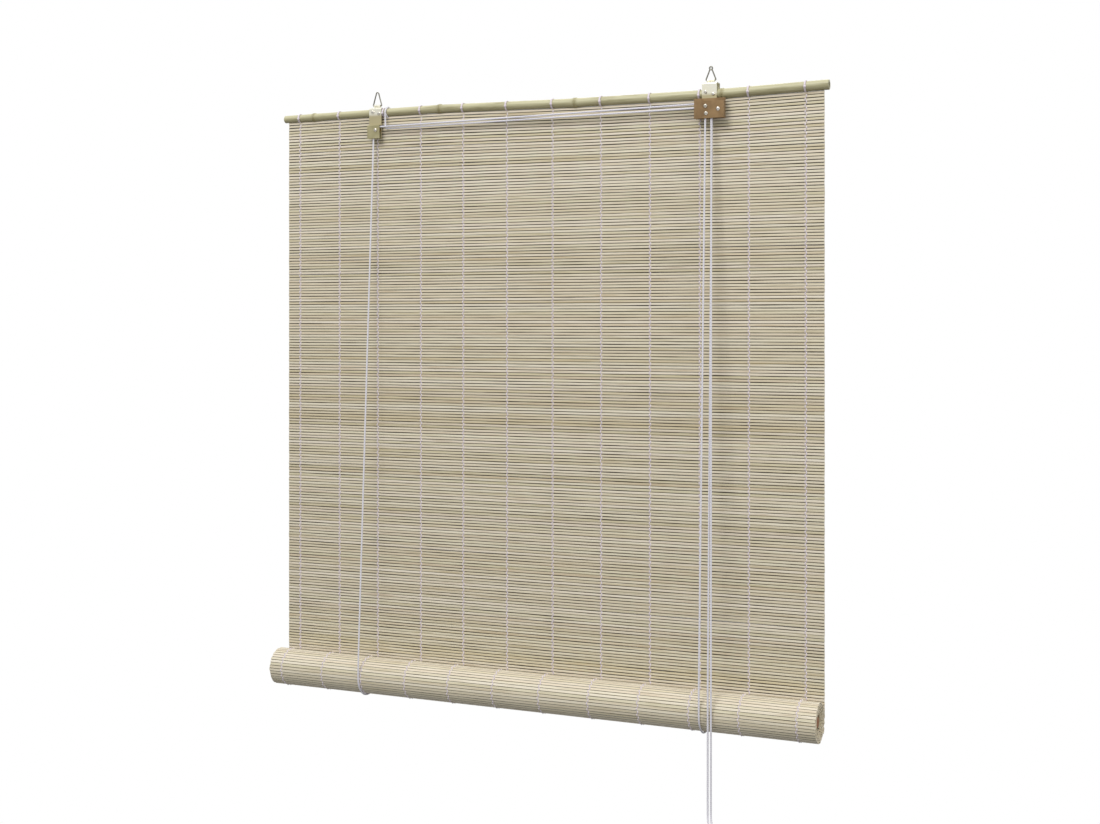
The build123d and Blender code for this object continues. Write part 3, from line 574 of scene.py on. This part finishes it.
def joined_copies(
    name: str, copies: list[np.ndarray], faces: list[list[int]], tones: list[float], painted_groove_shade: np.ndarray
) -> Mesh:
    """Join copies of one reed into a mesh, each with its own tone.

    Args:
        name: Name of the mesh.
        copies: Points of each copy.
        faces: Faces of one copy.
        tones: Tone of each copy, from 0, light, to 1, dark.
        painted_groove_shade: Share of painted groove shade on each point of one copy, 1 on its upper and
            lower edge.

    Returns:
        The joined mesh.
    """
    size = len(copies[0])
    bases = [number * size for number in range(len(copies))]
    all_faces = [[corner + base for corner in face] for base in bases for face in faces]
    mesh = bpy.data.meshes.new(name)
    mesh.from_pydata(np.concatenate(copies), [], all_faces)
    tone = mesh.attributes.new("tone", "FLOAT", "POINT")
    tone.data.foreach_set("value", np.repeat(np.array(tones, np.float32), size))
    # The groove attribute carries the painted shade between reeds.
    groove = mesh.attributes.new("groove", "FLOAT", "POINT")
    groove.data.foreach_set("value", np.tile(painted_groove_shade.astype(np.float32), len(copies)))
    return mesh


@dataclass
class Pole:
    """The top pole, a crooked bamboo culm."""

    finishes: Finishes
    half_length: float = 406 * MM
    left_radius: float = 5.4 * MM
    right_radius: float = 6.6 * MM
    swell: float = 1.1 * MM
    sides: int = 28
    end_edge: float = 0.4
    wall: float = 3.2 * MM
    bore_depth: float = 30 * MM
    stations: tuple[tuple[float, float], ...] = (
        (-406.0, -29.605),
        (-355.0, -29.205),
        (-148.0, -28.209),
        (59.0, -31.812),
        (266.0, -32.016),
        (406.0, -28.818),
    )

    def centre(self, x: float) -> float:
        """Height of the culm's axis at x."""
        places, heights = zip(*self.stations)
        return float(np.interp(x / MM, places, heights)) * MM

    def taper(self, x: float) -> float:
        """Radius of the culm at x without its knuckles."""
        share = x / (2 * self.half_length) + 0.5
        return self.left_radius + share * (self.right_radius - self.left_radius)

    def underside(self, x: float) -> float:
        """Height at x where the first reed starts, just under the culm."""
        return self.centre(x) - self.taper(x) - 0.2 * MM

    def radius(self, x: float) -> float:
        """Read the radius of the culm with its knuckles.

        Args:
            x: Place along the culm.

        Returns:
            Radius at that place.
        """
        radius = self.taper(x)
        for knuckle, _ in self.stations[1:-1]:
            # Two ridges with a groove between them, on a long, low flare.
            away = x / MM - knuckle
            ridge = math.exp(-((away - 0.9) ** 2) / 1.2) + 0.72 * math.exp(-((away + 1.6) ** 2) / 3.5)
            groove = 0.55 * math.exp(-((away + 0.35) ** 2) / 0.25)
            flare = 0.25 * math.exp(-(away**2) / 60.0)
            radius += self.swell * min(1.0, ridge + flare - groove)
        return radius

    def build(self) -> None:
        """Build the culm ring by ring, with close rings at each knuckle, a tone with painted shade on its
        underside, and bore both ends.
        """
        end = self.stations[-1][0]
        rings = [-end, self.end_edge - end, end - self.end_edge, end]
        rings += [-395.0 + 11.5 * step for step in range(69)]
        for knuckle, _ in self.stations[1:-1]:
            rings += [knuckle + 0.55 * step for step in range(-14, 15)]
        rings = sorted(set(round(ring, 3) for ring in rings))
        points, tones = [], []
        for ring in rings:
            x = ring * MM
            edge = self.end_edge * MM if abs(ring) == end else 0.0
            radius, height = self.radius(x) - edge, self.centre(x)
            near = min(abs(ring - knuckle) for knuckle, _ in self.stations[1:-1])
            for step in range(self.sides):
                angle = math.tau * step / self.sides
                points.append((x, radius * math.cos(angle), height + radius * math.sin(angle)))
                # Tone: painted shade, lighter on top and darker underneath, and darker at each knuckle as
                # the culm's nodes are.
                tones.append(min(1.0, 0.3 - 0.4 * math.sin(angle) + 0.5 * math.exp(-(near**2) / 8.0)))
        mesh = bpy.data.meshes.new("bamboo_culm")
        mesh.from_pydata(points, [], ring_faces(len(rings), self.sides))
        tone = mesh.attributes.new("tone", "FLOAT", "POINT")
        tone.data.foreach_set("value", np.array(tones, np.float32))
        pole = Bench.place(mesh)
        Bench.clear()
        pole.select_set(True)
        bpy.context.view_layer.objects.active = pole
        bpy.ops.object.mode_set(mode="EDIT")
        bpy.ops.mesh.select_mode(type="FACE")
        bpy.ops.mesh.select_all(action="DESELECT")
        bpy.ops.object.mode_set(mode="OBJECT")
        for face in mesh.polygons:
            face.select = len(face.vertices) == self.sides
        bpy.ops.object.mode_set(mode="EDIT")
        bpy.ops.mesh.inset(thickness=self.wall, use_individual=True)
        bpy.ops.mesh.extrude_region_shrink_fatten(TRANSFORM_OT_shrink_fatten={"value": -self.bore_depth})
        bpy.ops.mesh.select_all(action="SELECT")
        bpy.ops.mesh.normals_make_consistent(inside=False)
        bpy.ops.object.mode_set(mode="OBJECT")
        bpy.ops.object.shade_smooth_by_angle(angle=math.radians(40))
        Bench.dress(pole, self.finishes.culm, Slot.POLE, Body.HEADRAIL, "top_pole")


@dataclass
class Mat:
    """The hanging half of the blind: reeds one under the other."""

    finishes: Finishes
    top: float = -39.809 * MM
    pitch: float = 4.0 * MM
    reeds: int = 198
    waviness: float = 0.16 * MM
    wave_turn: float = 2.2
    half_width: float = 0.4
    uneven_reeds: int = 25
    tone: tuple[float, float] = (0.45, 0.25)
    seed: int = 7

    @property
    def bottom(self) -> float:
        """Height of the lowest reed's lower edge."""
        return self.top - self.reeds * self.pitch

    def wavy(self, points: np.ndarray, chance: Random, share: float = 1.0) -> np.ndarray:
        """Bend one copy of the reed a little, as split reeds are.

        Args:
            points: Points of the straight reed.
            chance: Source of chance.
            share: Share of the mat's waviness that it takes.

        Returns:
            Points of the crooked reed.
        """
        bent = points.copy()
        reach = bent[:, 0] / self.half_width
        for wave in (1, 2, 3):
            rise = share * self.waviness / wave * chance.uniform(-1, 1)
            depth = share * self.waviness / wave * chance.uniform(-1, 1)
            shift = chance.uniform(0, math.tau)
            bent[:, 2] += rise * np.sin(wave * self.wave_turn * reach + shift)
            bent[:, 1] += depth * np.sin(wave * self.wave_turn * reach + shift)
        bent[:, 0] *= 1 + chance.uniform(-0.0008, 0.0003)
        return bent

    def build(self, reed: Reed, pole: Pole) -> None:
        """Hang the reeds, the first ones bent along the pole.

        Args:
            reed: The reed that is copied.
            pole: The crooked pole above them.
        """
        points, faces = reed.model()
        wedge = np.array([pole.underside(x) - self.top for x in points[:, 0]])
        chance = Random(self.seed)
        copies, tones = [], []
        for number in range(self.reeds):
            split = (1, chance.uniform(0.85, 1.05), chance.uniform(0.97, 1.04))
            copy = self.wavy(points * split, chance)
            copy[:, 2] += self.top - (number + 0.5) * self.pitch
            copy[:, 2] += wedge * max(0.0, 1 - number / self.uneven_reeds)
            copies.append(copy)
            tones.append(min(1.0, max(0.0, chance.gauss(*self.tone))))
        # Each reed copy carries the painted groove shade on its edges.
        mat = Bench.place(joined_copies("reed_mat", copies, faces, tones, reed.painted_groove_shade(points)))
        Bench.dress(mat, self.finishes.reeds, Slot.REEDS, Body.HEADRAIL, "hanging_mat")
        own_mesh(mat)


@dataclass
class Roll:
    """The rolled half: reeds on a spiral round the bottom rod."""

    finishes: Finishes
    middle: tuple[float, float] = (-25.1 * MM, -831.859 * MM)
    outer_radius: float = 25.1 * MM
    inner_radius: float = 8.9 * MM
    turn_step: float = 2.414 * MM
    pitch: float = 4.0 * MM
    core_recess: float = 0.006
    # Painted shade added to the tone of the inner turns, in the roll's recessed core.
    core_shade: float = 0.6
    painted_groove_share: float = 0.85
    tone: tuple[float, float] = (0.3, 0.2)
    seed: int = 11

    def radius(self, angle: float) -> float:
        """Radius of the reeds' middle after that angle from the spiral's outer end."""
        return self.outer_radius - self.turn_step * max(0.0, angle - math.pi) / math.tau

    def places(self) -> list[tuple[float, float]]:
        """Angle and radius of each reed, from the outer end inwards."""
        found = []
        angle = self.pitch / 2 / self.outer_radius
        while self.radius(angle) > self.inner_radius:
            found.append((angle, self.radius(angle)))
            angle += self.pitch / self.radius(angle)
        return found

    def on_roll(self, points: np.ndarray, angle: float, radius: float) -> np.ndarray:
        """Turn and move a reed to its place on the spiral.

        Args:
            points: Points of the reed.
            angle: Angle of its place, counted down from the back.
            radius: Distance of its middle from the roll's axis.

        Returns:
            The moved points.
        """
        turned = points.copy()
        out, along = points[:, 1], points[:, 2]
        reach = radius + out
        turned[:, 1] = self.middle[0] + reach * math.cos(angle) + along * math.sin(angle)
        turned[:, 2] = self.middle[1] - reach * math.sin(angle) + along * math.cos(angle)
        return turned

    def build(self, reed: Reed, mat: Mat) -> None:
        """Wind the reeds and give the rod in the core its finish.

        Args:
            reed: The reed that is copied.
            mat: The mat that the reeds belong to.
        """
        points, faces = reed.model()
        chance = Random(self.seed)
        copies, tones = [], []
        for angle, radius in self.places():
            depth = (self.outer_radius - radius) / (self.outer_radius - self.inner_radius)
            length = chance.uniform(0.9985, 1.001) - self.core_recess * depth
            copy = mat.wavy(points * (length, 0.95, 0.94), chance, share=0.25)
            copies.append(self.on_roll(copy, angle, radius))
            # Inner turns take a darker tone: painted shade in the recessed core.
            tones.append(min(1.0, max(0.0, chance.gauss(*self.tone)) + self.core_shade * depth))
        # Painted shade in the grooves between reeds, at a smaller share on the roll.
        painted_groove_shade = self.painted_groove_share * reed.painted_groove_shade(points)
        roll = Bench.place(joined_copies("reed_roll", copies, faces, tones, painted_groove_shade))
        Bench.dress(roll, self.finishes.reeds, Slot.REEDS, Body.ROLL, "mat_roll")
        Bench.dress_node("bottom_rod", self.finishes.rod)


@dataclass
class Threads:
    """Warp threads that bind the reeds, each a pair of strands crossing between the reeds."""

    finishes: Finishes
    strand_radius: float = 0.78 * MM
    reach: float = 1.2 * MM
    side_step: float = 0.82 * MM
    tie_radius: float = 0.55 * MM
    bound_turns: float = 1.2
    half_span: float = 378.0
    drifts: tuple[float, ...] = (-2, -3.5, -8.5, -7, -8.5, -9.5, -9.5, -7, -6, -5.5, -8, -2)

    @property
    def places(self) -> list[float]:
        """Place of each thread along the blind: spread evenly, and then drifted as they are in the photo."""
        spread = np.linspace(-self.half_span, self.half_span, len(self.drifts))
        return [(place + drift) * MM for place, drift in zip(spread, self.drifts)]

    def sway(self, step: float, side: int) -> float:
        """Offset of a strand from the middle of the reeds.

        Args:
            step: Distance along the mat in reeds.
            side: 1 for the strand that starts in front, -1 for the other.

        Returns:
            Offset towards the room.
        """
        share = step % 1.0
        lift = min(1.0, 3.2 * min(share, 1 - share) + 0.12)
        return side * (-1) ** int(step) * self.reach * lift

    def build_hanging(self, mat: Mat) -> None:
        """Bind the hanging reeds.

        Args:
            mat: The hanging mat.
        """
        shares = (0.0, 0.22, 0.42, 0.62, 0.8)
        for number, x in enumerate(self.places, start=1):
            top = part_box(f"warp_thread_{number}")[1].z
            lines = []
            for side in (-1, 1):
                line = [Vector((x + side * self.side_step, 0, top))]
                for reed in range(mat.reeds):
                    for share in shares:
                        drop = (reed + share) * mat.pitch
                        place = (x + side * self.side_step, -self.sway(reed + share, side), mat.top - drop)
                        line.append(Vector(place))
                line.append(Vector((x + side * self.side_step, 0, mat.bottom)))
                lines.append(line)
            thread = Bench.place(tube_mesh(f"warp_strands_{number}", lines, self.strand_radius, sides=5))
            Bench.dress(thread, self.finishes.thread, Slot.THREAD, Body.HEADRAIL, f"warp_thread_{number}")
            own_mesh(thread)

    def build_rolled(self, roll: Roll) -> None:
        """Bind the reeds on the roll's outer turn.

        Args:
            roll: The rolled mat.
        """
        lines = []
        reeds = [place for place in roll.places() if place[0] < self.bound_turns * math.tau]
        for x in self.places:
            for side in (-1, 1):
                line = []
                for number, (angle, radius) in enumerate(reeds):
                    for share in (-0.5, -0.25, 0.0, 0.25):
                        turn = angle + share * roll.pitch / radius
                        out = roll.radius(turn) + self.sway(number + 0.5 + share, side)
                        y = roll.middle[0] + out * math.cos(turn)
                        z = roll.middle[1] - out * math.sin(turn)
                        line.append(Vector((x + side * self.side_step, y, z)))
                lines.append(line)
        threads = Bench.place(tube_mesh("roll_strands", lines, self.strand_radius, sides=5))
        Bench.dress(threads, self.finishes.thread, Slot.THREAD, Body.ROLL, "roll_threads")

    def build_ties(self) -> None:
        """Wind each thread's end three times round the pole and knot it in front."""
        seat, width, turns, steps = 0.35, 2.2, 3, 18
        for number in range(1, len(self.places) + 1):
            low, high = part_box(f"pole_tie_{number}")
            middle, radius = (low + high) / 2, (high.z - low.z) / 2 - seat * MM
            line = []
            for step in range(turns * steps + 1):
                angle = math.tau * step / steps
                x = middle.x + (step / (turns * steps) - 0.5) * width * MM
                line.append(Vector((x, -radius * math.sin(angle), middle.z - radius * math.cos(angle))))
            knot_place = Vector((middle.x, -radius - seat * MM, middle.z - 1.2 * MM))
            knot = []
            for step in range(24):
                turn = math.tau * step / 24
                away = Vector((1.3 * math.sin(2 * turn), -0.5 * math.cos(3 * turn), math.sin(3 * turn)))
                knot.append(knot_place + MM * away)
            tie = Bench.place(tube_mesh(f"pole_lashing_{number}", [line, knot], self.tie_radius, sides=6))
            Bench.dress(tie, self.finishes.thread, Slot.THREAD, Body.HEADRAIL, f"pole_tie_{number}")


@dataclass
class Cords:
    """Lift cords, cross cord and pull cords."""

    finishes: Finishes
    radius: float = 1.25 * MM
    contact: tuple[float, float] = (-54.2, -799.86)
    lock_exit: float = -66.05
    hank_middle: Point = (264.5, -54.5, -1007.0)

    def lay(
        self, name: str, route: list[Point], body: Body | None, *nodes: str
    ) -> tuple[Object, list[Vector]]:
        """Make one cord along its route.

        Args:
            name: Name of the piece.
            route: Control points, in millimetres.
            body: Body it rides on, or None where it blends.
            *nodes: Nodes of the frame that it replaces.

        Returns:
            The cord and the points along its middle.
        """
        line = smooth_line([tuple(MM * value for value in point) for point in route])
        cord = Bench.place(tube_mesh(name, [line], self.radius))
        Bench.dress(cord, self.finishes.cord, Slot.CORD, body, *nodes)
        log.info("%s: %.0f mm long", name, length_of(line) / MM)
        return cord, line

    def shorten(self, cord: Object) -> None:
        """Give a cord its own copy of its mesh.

        Args:
            cord: The cord.
        """
        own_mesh(cord)

    def build_pull_cords(self) -> None:
        """Hang the two pull cords from the lock, lean them on the roll and put the rest away in a hank."""
        leads = {
            "left": [(254.5, -10.32, self.lock_exit), (254.5, -10.4, -80.0), (254.6, -11.4, -92.0)],
            "right": [(254.5, -13.62, self.lock_exit), (254.6, -13.8, -80.0), (254.9, -14.7, -92.0)],
        }
        contact_x = {"left": 262.4, "right": 266.6}
        for number, (side, lead) in enumerate(leads.items()):
            route = [*lead, (contact_x[side], *self.contact)]
            replaced = f"{side}_pull_cord"
            upper, line = self.lay(f"{side}_pull_strand", route, Body.HEADRAIL, replaced)
            self.shorten(upper)
            lower_route = self.hank_route(route[-1], number)
            nodes = [f"{replaced}_lower"] + (["pull_cord_hank", "hank_tie"] if number == 0 else [])
            lower, line = self.lay(f"{side}_pull_strand_lower", lower_route, None, *nodes)
            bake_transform(lower)
        Bench.dress_node("pull_cord_knots", self.finishes.cord)

    def hank_route(self, start: Point, strand: int) -> list[Point]:
        """Route of one strand from the roll down, through the hank and out to its knot.

        Args:
            start: Where the strand leaves the roll.
            strand: 0 for the left strand, 1 for the right one.

        Returns:
            Control points, in millimetres.
        """
        x, y, z = start
        middle_x, middle_y, middle_z = self.hank_middle
        # Half a straight run, the innermost fold and the step from turn to turn.
        half_run, inner, nest = 12.0, 9.3, 2.55
        # Turns in a layer and in all, then the depth of a layer and of a strand.
        nested, turns, layer_depth, strand_step = 3, 11, 5.2, 2.6
        half_turn = [(0, 1.0), (40, 1.0), (80, 0.8), (90, 0.25), (90, -0.25), (100, -0.8), (140, -1.0)]
        places = half_turn + [(angle + 180, -share) for angle, share in half_turn]
        offset = (strand - 0.5) * strand_step
        route = [(x, y, z - 0.05), (x, y, z - 60.0), (x, y, z - 110.0), (x, y, -954.0)]
        route += [(x + 0.8, y - 2.4, -963.0), (x + 5.0, -60.5 + offset, -972.0)]
        for step in range(1, turns * len(places) + 5):
            layer, grown = divmod(step / len(places), nested)
            angle, share = places[step % len(places)]
            spread = inner + nest * (grown if layer % 2 else nested - grown)
            change = max(0.0, 4 * (grown - nested) + 1)
            depth = middle_y + (layer + change - 1.5) * layer_depth + offset
            across, up = math.sin(math.radians(angle)), math.cos(math.radians(angle))
            route.append((middle_x + spread * across, depth, middle_z + share * half_run + spread * up))
        knot_y = y - 6.0 * strand
        route += [(279.0, depth, -1024.0), (x + 11.0, depth - 1.5, -1037.0)]
        route += [(x + 5.5, (depth + knot_y) / 2, -1042.0), (x + 0.3, knot_y, -1046.0), (x, knot_y, -1051.0)]
        return route

    def build_hank_tie(self) -> None:
        """Wind three turns round the middle of the hank."""
        steps, turns, height = 16, 3, 7.2
        half_width, half_depth, roundness = 20.0, 13.0, 0.45
        middle_x, middle_y, middle_z = self.hank_middle
        route = []
        for step in range(turns * steps + 1):
            across, deep = math.cos(math.tau * step / steps), math.sin(math.tau * step / steps)
            x = middle_x + math.copysign(half_width * abs(across) ** roundness, across)
            y = middle_y + math.copysign(half_depth * abs(deep) ** roundness, deep)
            route.append((x, y, middle_z + height * (step / (turns * steps) - 0.5)))
        self.lay("hank_lashing", route, Body.PULL_END, "hank_tie")

    def build_lift_cords(self) -> None:
        """Lay both lift cords: knot behind, back fall, loop under the roll and front fall."""
        falls = {
            "left": [(-251.0, -9.53, -61.55), (-251.0, -30.8, -430.0), (-251.0, -51.94, -799.86)],
            "right": [(246.4, -13.62, -66.05), (248.2, -32.8, -433.0), (249.85, -52.1, -799.86)],
        }
        under = [(-52.7, -820.0), (-52.7, -843.3), (-36.6, -859.5)]
        under += [(-13.6, -859.5), (2.6, -843.3), (2.8, -820.0)]
        backs = {
            "left": [(-251.0, 3.57, -799.86), (-250.5, 3.57, -425.0), (-250.0, 3.57, -49.2)],
            "right": [(250.0, 3.57, -799.86), (250.0, 3.57, -426.0), (250.0, 3.57, -52.5)],
        }
        strap_backs = {"left": 9.3, "right": 10.0}
        for side, back_y in strap_backs.items():
            cord, fall = f"{side}_lift_cord", falls[side]
            front, line = self.lay(f"{side}_front_fall", fall, Body.HEADRAIL, f"{cord}_front")
            self.shorten(front)
            low = backs[side][0]
            loop = [fall[-1], *[(low[0], y, z) for y, z in under], low]
            self.lay(f"{side}_under_loop", loop, Body.CARRIAGE, f"{cord}_loop")
            back, line = self.lay(f"{side}_back_fall", backs[side], Body.HEADRAIL, f"{cord}_back")
            self.shorten(back)
            x, y, z = backs[side][-1]
            knot = [(x, y, z), (x, y, z + 7.2), (x, y + 0.4, z + 9.5), (x, y + 2.4, z + 9.5)]
            knot += [(x, back_y, z + 9.5), (x, back_y + 1.3, z + 8.0), (x + 1.4, back_y + 0.3, z + 7.6)]
            knot += [(x + 1.5, back_y - 0.7, z + 10.8), (x - 1.4, back_y - 0.7, z + 11.0)]
            knot += [(x - 1.6, back_y + 0.5, z + 8.0), (x + 0.4, back_y + 1.5, z + 8.6)]
            knot += [(x + 0.6, back_y + 0.3, z + 11.2)]
            self.lay(f"{side}_back_knot", knot, Body.HEADRAIL, f"{cord}_knot")

    def build_cross_cord(self) -> None:
        """Lay the cross cord, its tail and the cord inside the lock."""
        cross = [(-251.0, -9.53, -61.5), (-251.0, -9.53, -55.5), (-251.0, -9.53, -50.2)]
        cross += [(-246.0, -9.54, -49.95), (-236.0, -9.55, -49.9), (0.0, -9.9, -47.6)]
        cross += [(238.0, -10.3, -44.95), (248.0, -10.32, -44.75), (251.7, -10.32, -45.0)]
        cross += [(251.75, -10.32, -50.0), (251.75, -10.32, -58.0)]
        cross += [(254.5, -10.32, -62.5), (254.5, -10.32, -66.0)]
        self.lay("cross_strand", cross, Body.HEADRAIL, "cross_cord")
        inside = [(246.4, -13.62, -66.0), (246.4, -13.62, -62.0), (243.25, -13.62, -55.0)]
        inside += [(243.25, -13.62, -49.0), (243.3, -13.62, -44.8), (247.5, -13.62, -44.7)]
        inside += [(251.7, -13.62, -44.8), (251.75, -13.62, -49.0), (251.75, -13.62, -58.0)]
        inside += [(254.5, -13.62, -62.5), (254.5, -13.62, -66.0)]
        self.lay("lock_strand", inside, Body.HEADRAIL, "lock_cord")
        tail = [(237.4, -4.0, -49.8), (235.6, -4.2, -51.6), (236.5, -5.0, -50.5), (236.5, -9.0, -50.5)]
        tail += [(236.4, -11.9, -50.5), (232.0, -11.97, -50.6), (222.0, -11.9, -50.65), (0.0, -9.3, -51.6)]
        tail += [(-222.0, -6.8, -52.6), (-230.5, -6.7, -52.6), (-233.2, -6.7, -51.5)]
        tail += [(-233.25, -6.9, -44.0), (-233.25, -7.5, -34.0)]
        hitch_x, hitch_z, hitch_radius = -233.25, -28.61, 7.805
        for step in range(9):
            turn = math.tau * step / 8
            out, up = -hitch_radius * math.cos(turn), hitch_radius * math.sin(turn)
            tail.append((hitch_x + 1.3 * math.sin(turn / 2), out, hitch_z + up))
        self.lay("cross_tail", tail, Body.HEADRAIL, "cross_cord_tail")

    def build(self) -> None:
        """Lay every cord."""
        self.build_pull_cords()
        self.build_hank_tie()
        self.build_lift_cords()
        self.build_cross_cord()


@dataclass
class Hardware:
    """Rings, straps, pulley and lock: frame nodes with their metal finishes."""

    finishes: Finishes

    def build(self) -> None:
        """Dress every metal node."""
        polished = ("left_strap_screws", "right_strap_screws", "pulley_rivet", "lock_rivets")
        for nodes, material in (
            (("left_strap", "right_strap"), self.finishes.nickel),
            (("pulley_bracket", "lock_cam"), self.finishes.passivated),
            (("left_ring", "right_ring"), self.finishes.wire),
            (("lock_housing",), self.finishes.lacquer),
            (polished, self.finishes.rivet),
            (("pulley_wheel", "lock_roller"), self.finishes.brass),
        ):
            for node in nodes:
                Bench.dress_node(node, material)


@dataclass
class Studio:
    """Camera, light and floor."""

    eye: Point = (0.830, -1.874, -0.331)
    turn: float = 23.36
    lens: float = 48.8
    frame_drop: float = -89 / 1100
    floor_height: float = -2.6
    floor_radius: float = 3.3
    sky_light: float = 0.85
    ground_light: float = 0.2

    def build(self) -> None:
        """Set up the camera, the lights and the floor."""
        lens = bpy.data.cameras.new("camera")
        lens.lens = self.lens
        lens.sensor_width = 36.0
        lens.shift_y = self.frame_drop
        camera = bpy.data.objects.new("camera", lens)
        camera.location = self.eye
        camera.rotation_euler = (math.radians(90), 0, math.radians(self.turn))
        bpy.context.scene.collection.objects.link(camera)
        bpy.context.scene.camera = camera
        self.add_lights()
        self.add_world()
        bpy.context.scene.view_settings.view_transform = "Standard"
        Bench.clear()
        bpy.ops.mesh.primitive_circle_add(
            vertices=96, radius=self.floor_radius, fill_type="NGON", location=(0, 0, self.floor_height)
        )
        floor = bpy.context.object
        floor.name = "studio_floor"
        floor.data.materials.append(Finish("studio_floor_paint", 0.9, light="#fbfbfb").make())
        floor.visible_diffuse = False

    def add_world(self) -> None:
        """Surround the blind with white that lights it more from above than from below."""
        world = bpy.data.worlds.new("studio")
        world.use_nodes = True
        tree = world.node_tree
        aim = add_node(tree, "TexCoord").outputs["Generated"]
        parts = add_node(tree, "SeparateXYZ", {0: aim})
        reach = {"From Min": -0.3, "From Max": 0.6, "To Min": self.ground_light, "To Max": self.sky_light}
        light = add_node(tree, "MapRange", {"Value": parts.outputs[2], **reach})
        seen = add_node(tree, "LightPath").outputs["Is Camera Ray"]
        strength = add_node(tree, "Mix", {0: seen, 2: light, 3: 1.0}, data_type="FLOAT")
        background = tree.nodes["Background"]
        background.inputs[0].default_value = (1.0, 1.0, 1.0, 1.0)
        tree.links.new(strength.outputs[0], background.inputs[1])
        bpy.context.scene.world = world

    def add_lights(self) -> None:
        """Add three soft lights, each with its place, the height that it faces, its side and its watts."""
        for name, place, height, side, watts in (
            ("key", (-0.45, -2.2, 1.9), -0.4, 1.3, 46.0),
            ("fill", (2.4, -1.2, 0.2), -0.5, 1.2, 12.0),
            ("back", (-0.4, 2.2, 1.0), -0.5, 1.6, 14.0),
        ):
            lamp = bpy.data.lights.new(name, "AREA")
            lamp.size = side
            lamp.energy = watts
            light = bpy.data.objects.new(name, lamp)
            light.location = place
            facing = Vector((0.0, 0.0, height)) - Vector(place)
            light.rotation_euler = facing.to_track_quat("-Z", "Y").to_euler()
            bpy.context.scene.collection.objects.link(light)


def main() -> None:
    """Build the blind's looks and its studio."""
    logging.basicConfig(level=logging.INFO, format="%(message)s", force=True)
    Bench.clear()
    Studio().build()
    finishes = Finishes()
    Cords(finishes).build()
    mat = Mat(finishes)
    pole = Pole(finishes)
    mat.build(Reed(), pole)
    roll = Roll(finishes)
    roll.build(Reed(rounding=0.55 * MM), mat)
    threads = Threads(finishes)
    threads.build_hanging(mat)
    threads.build_rolled(roll)
    threads.build_ties()
    pole.build()
    Hardware(finishes).build()


if __name__ == "__main__":
    main()
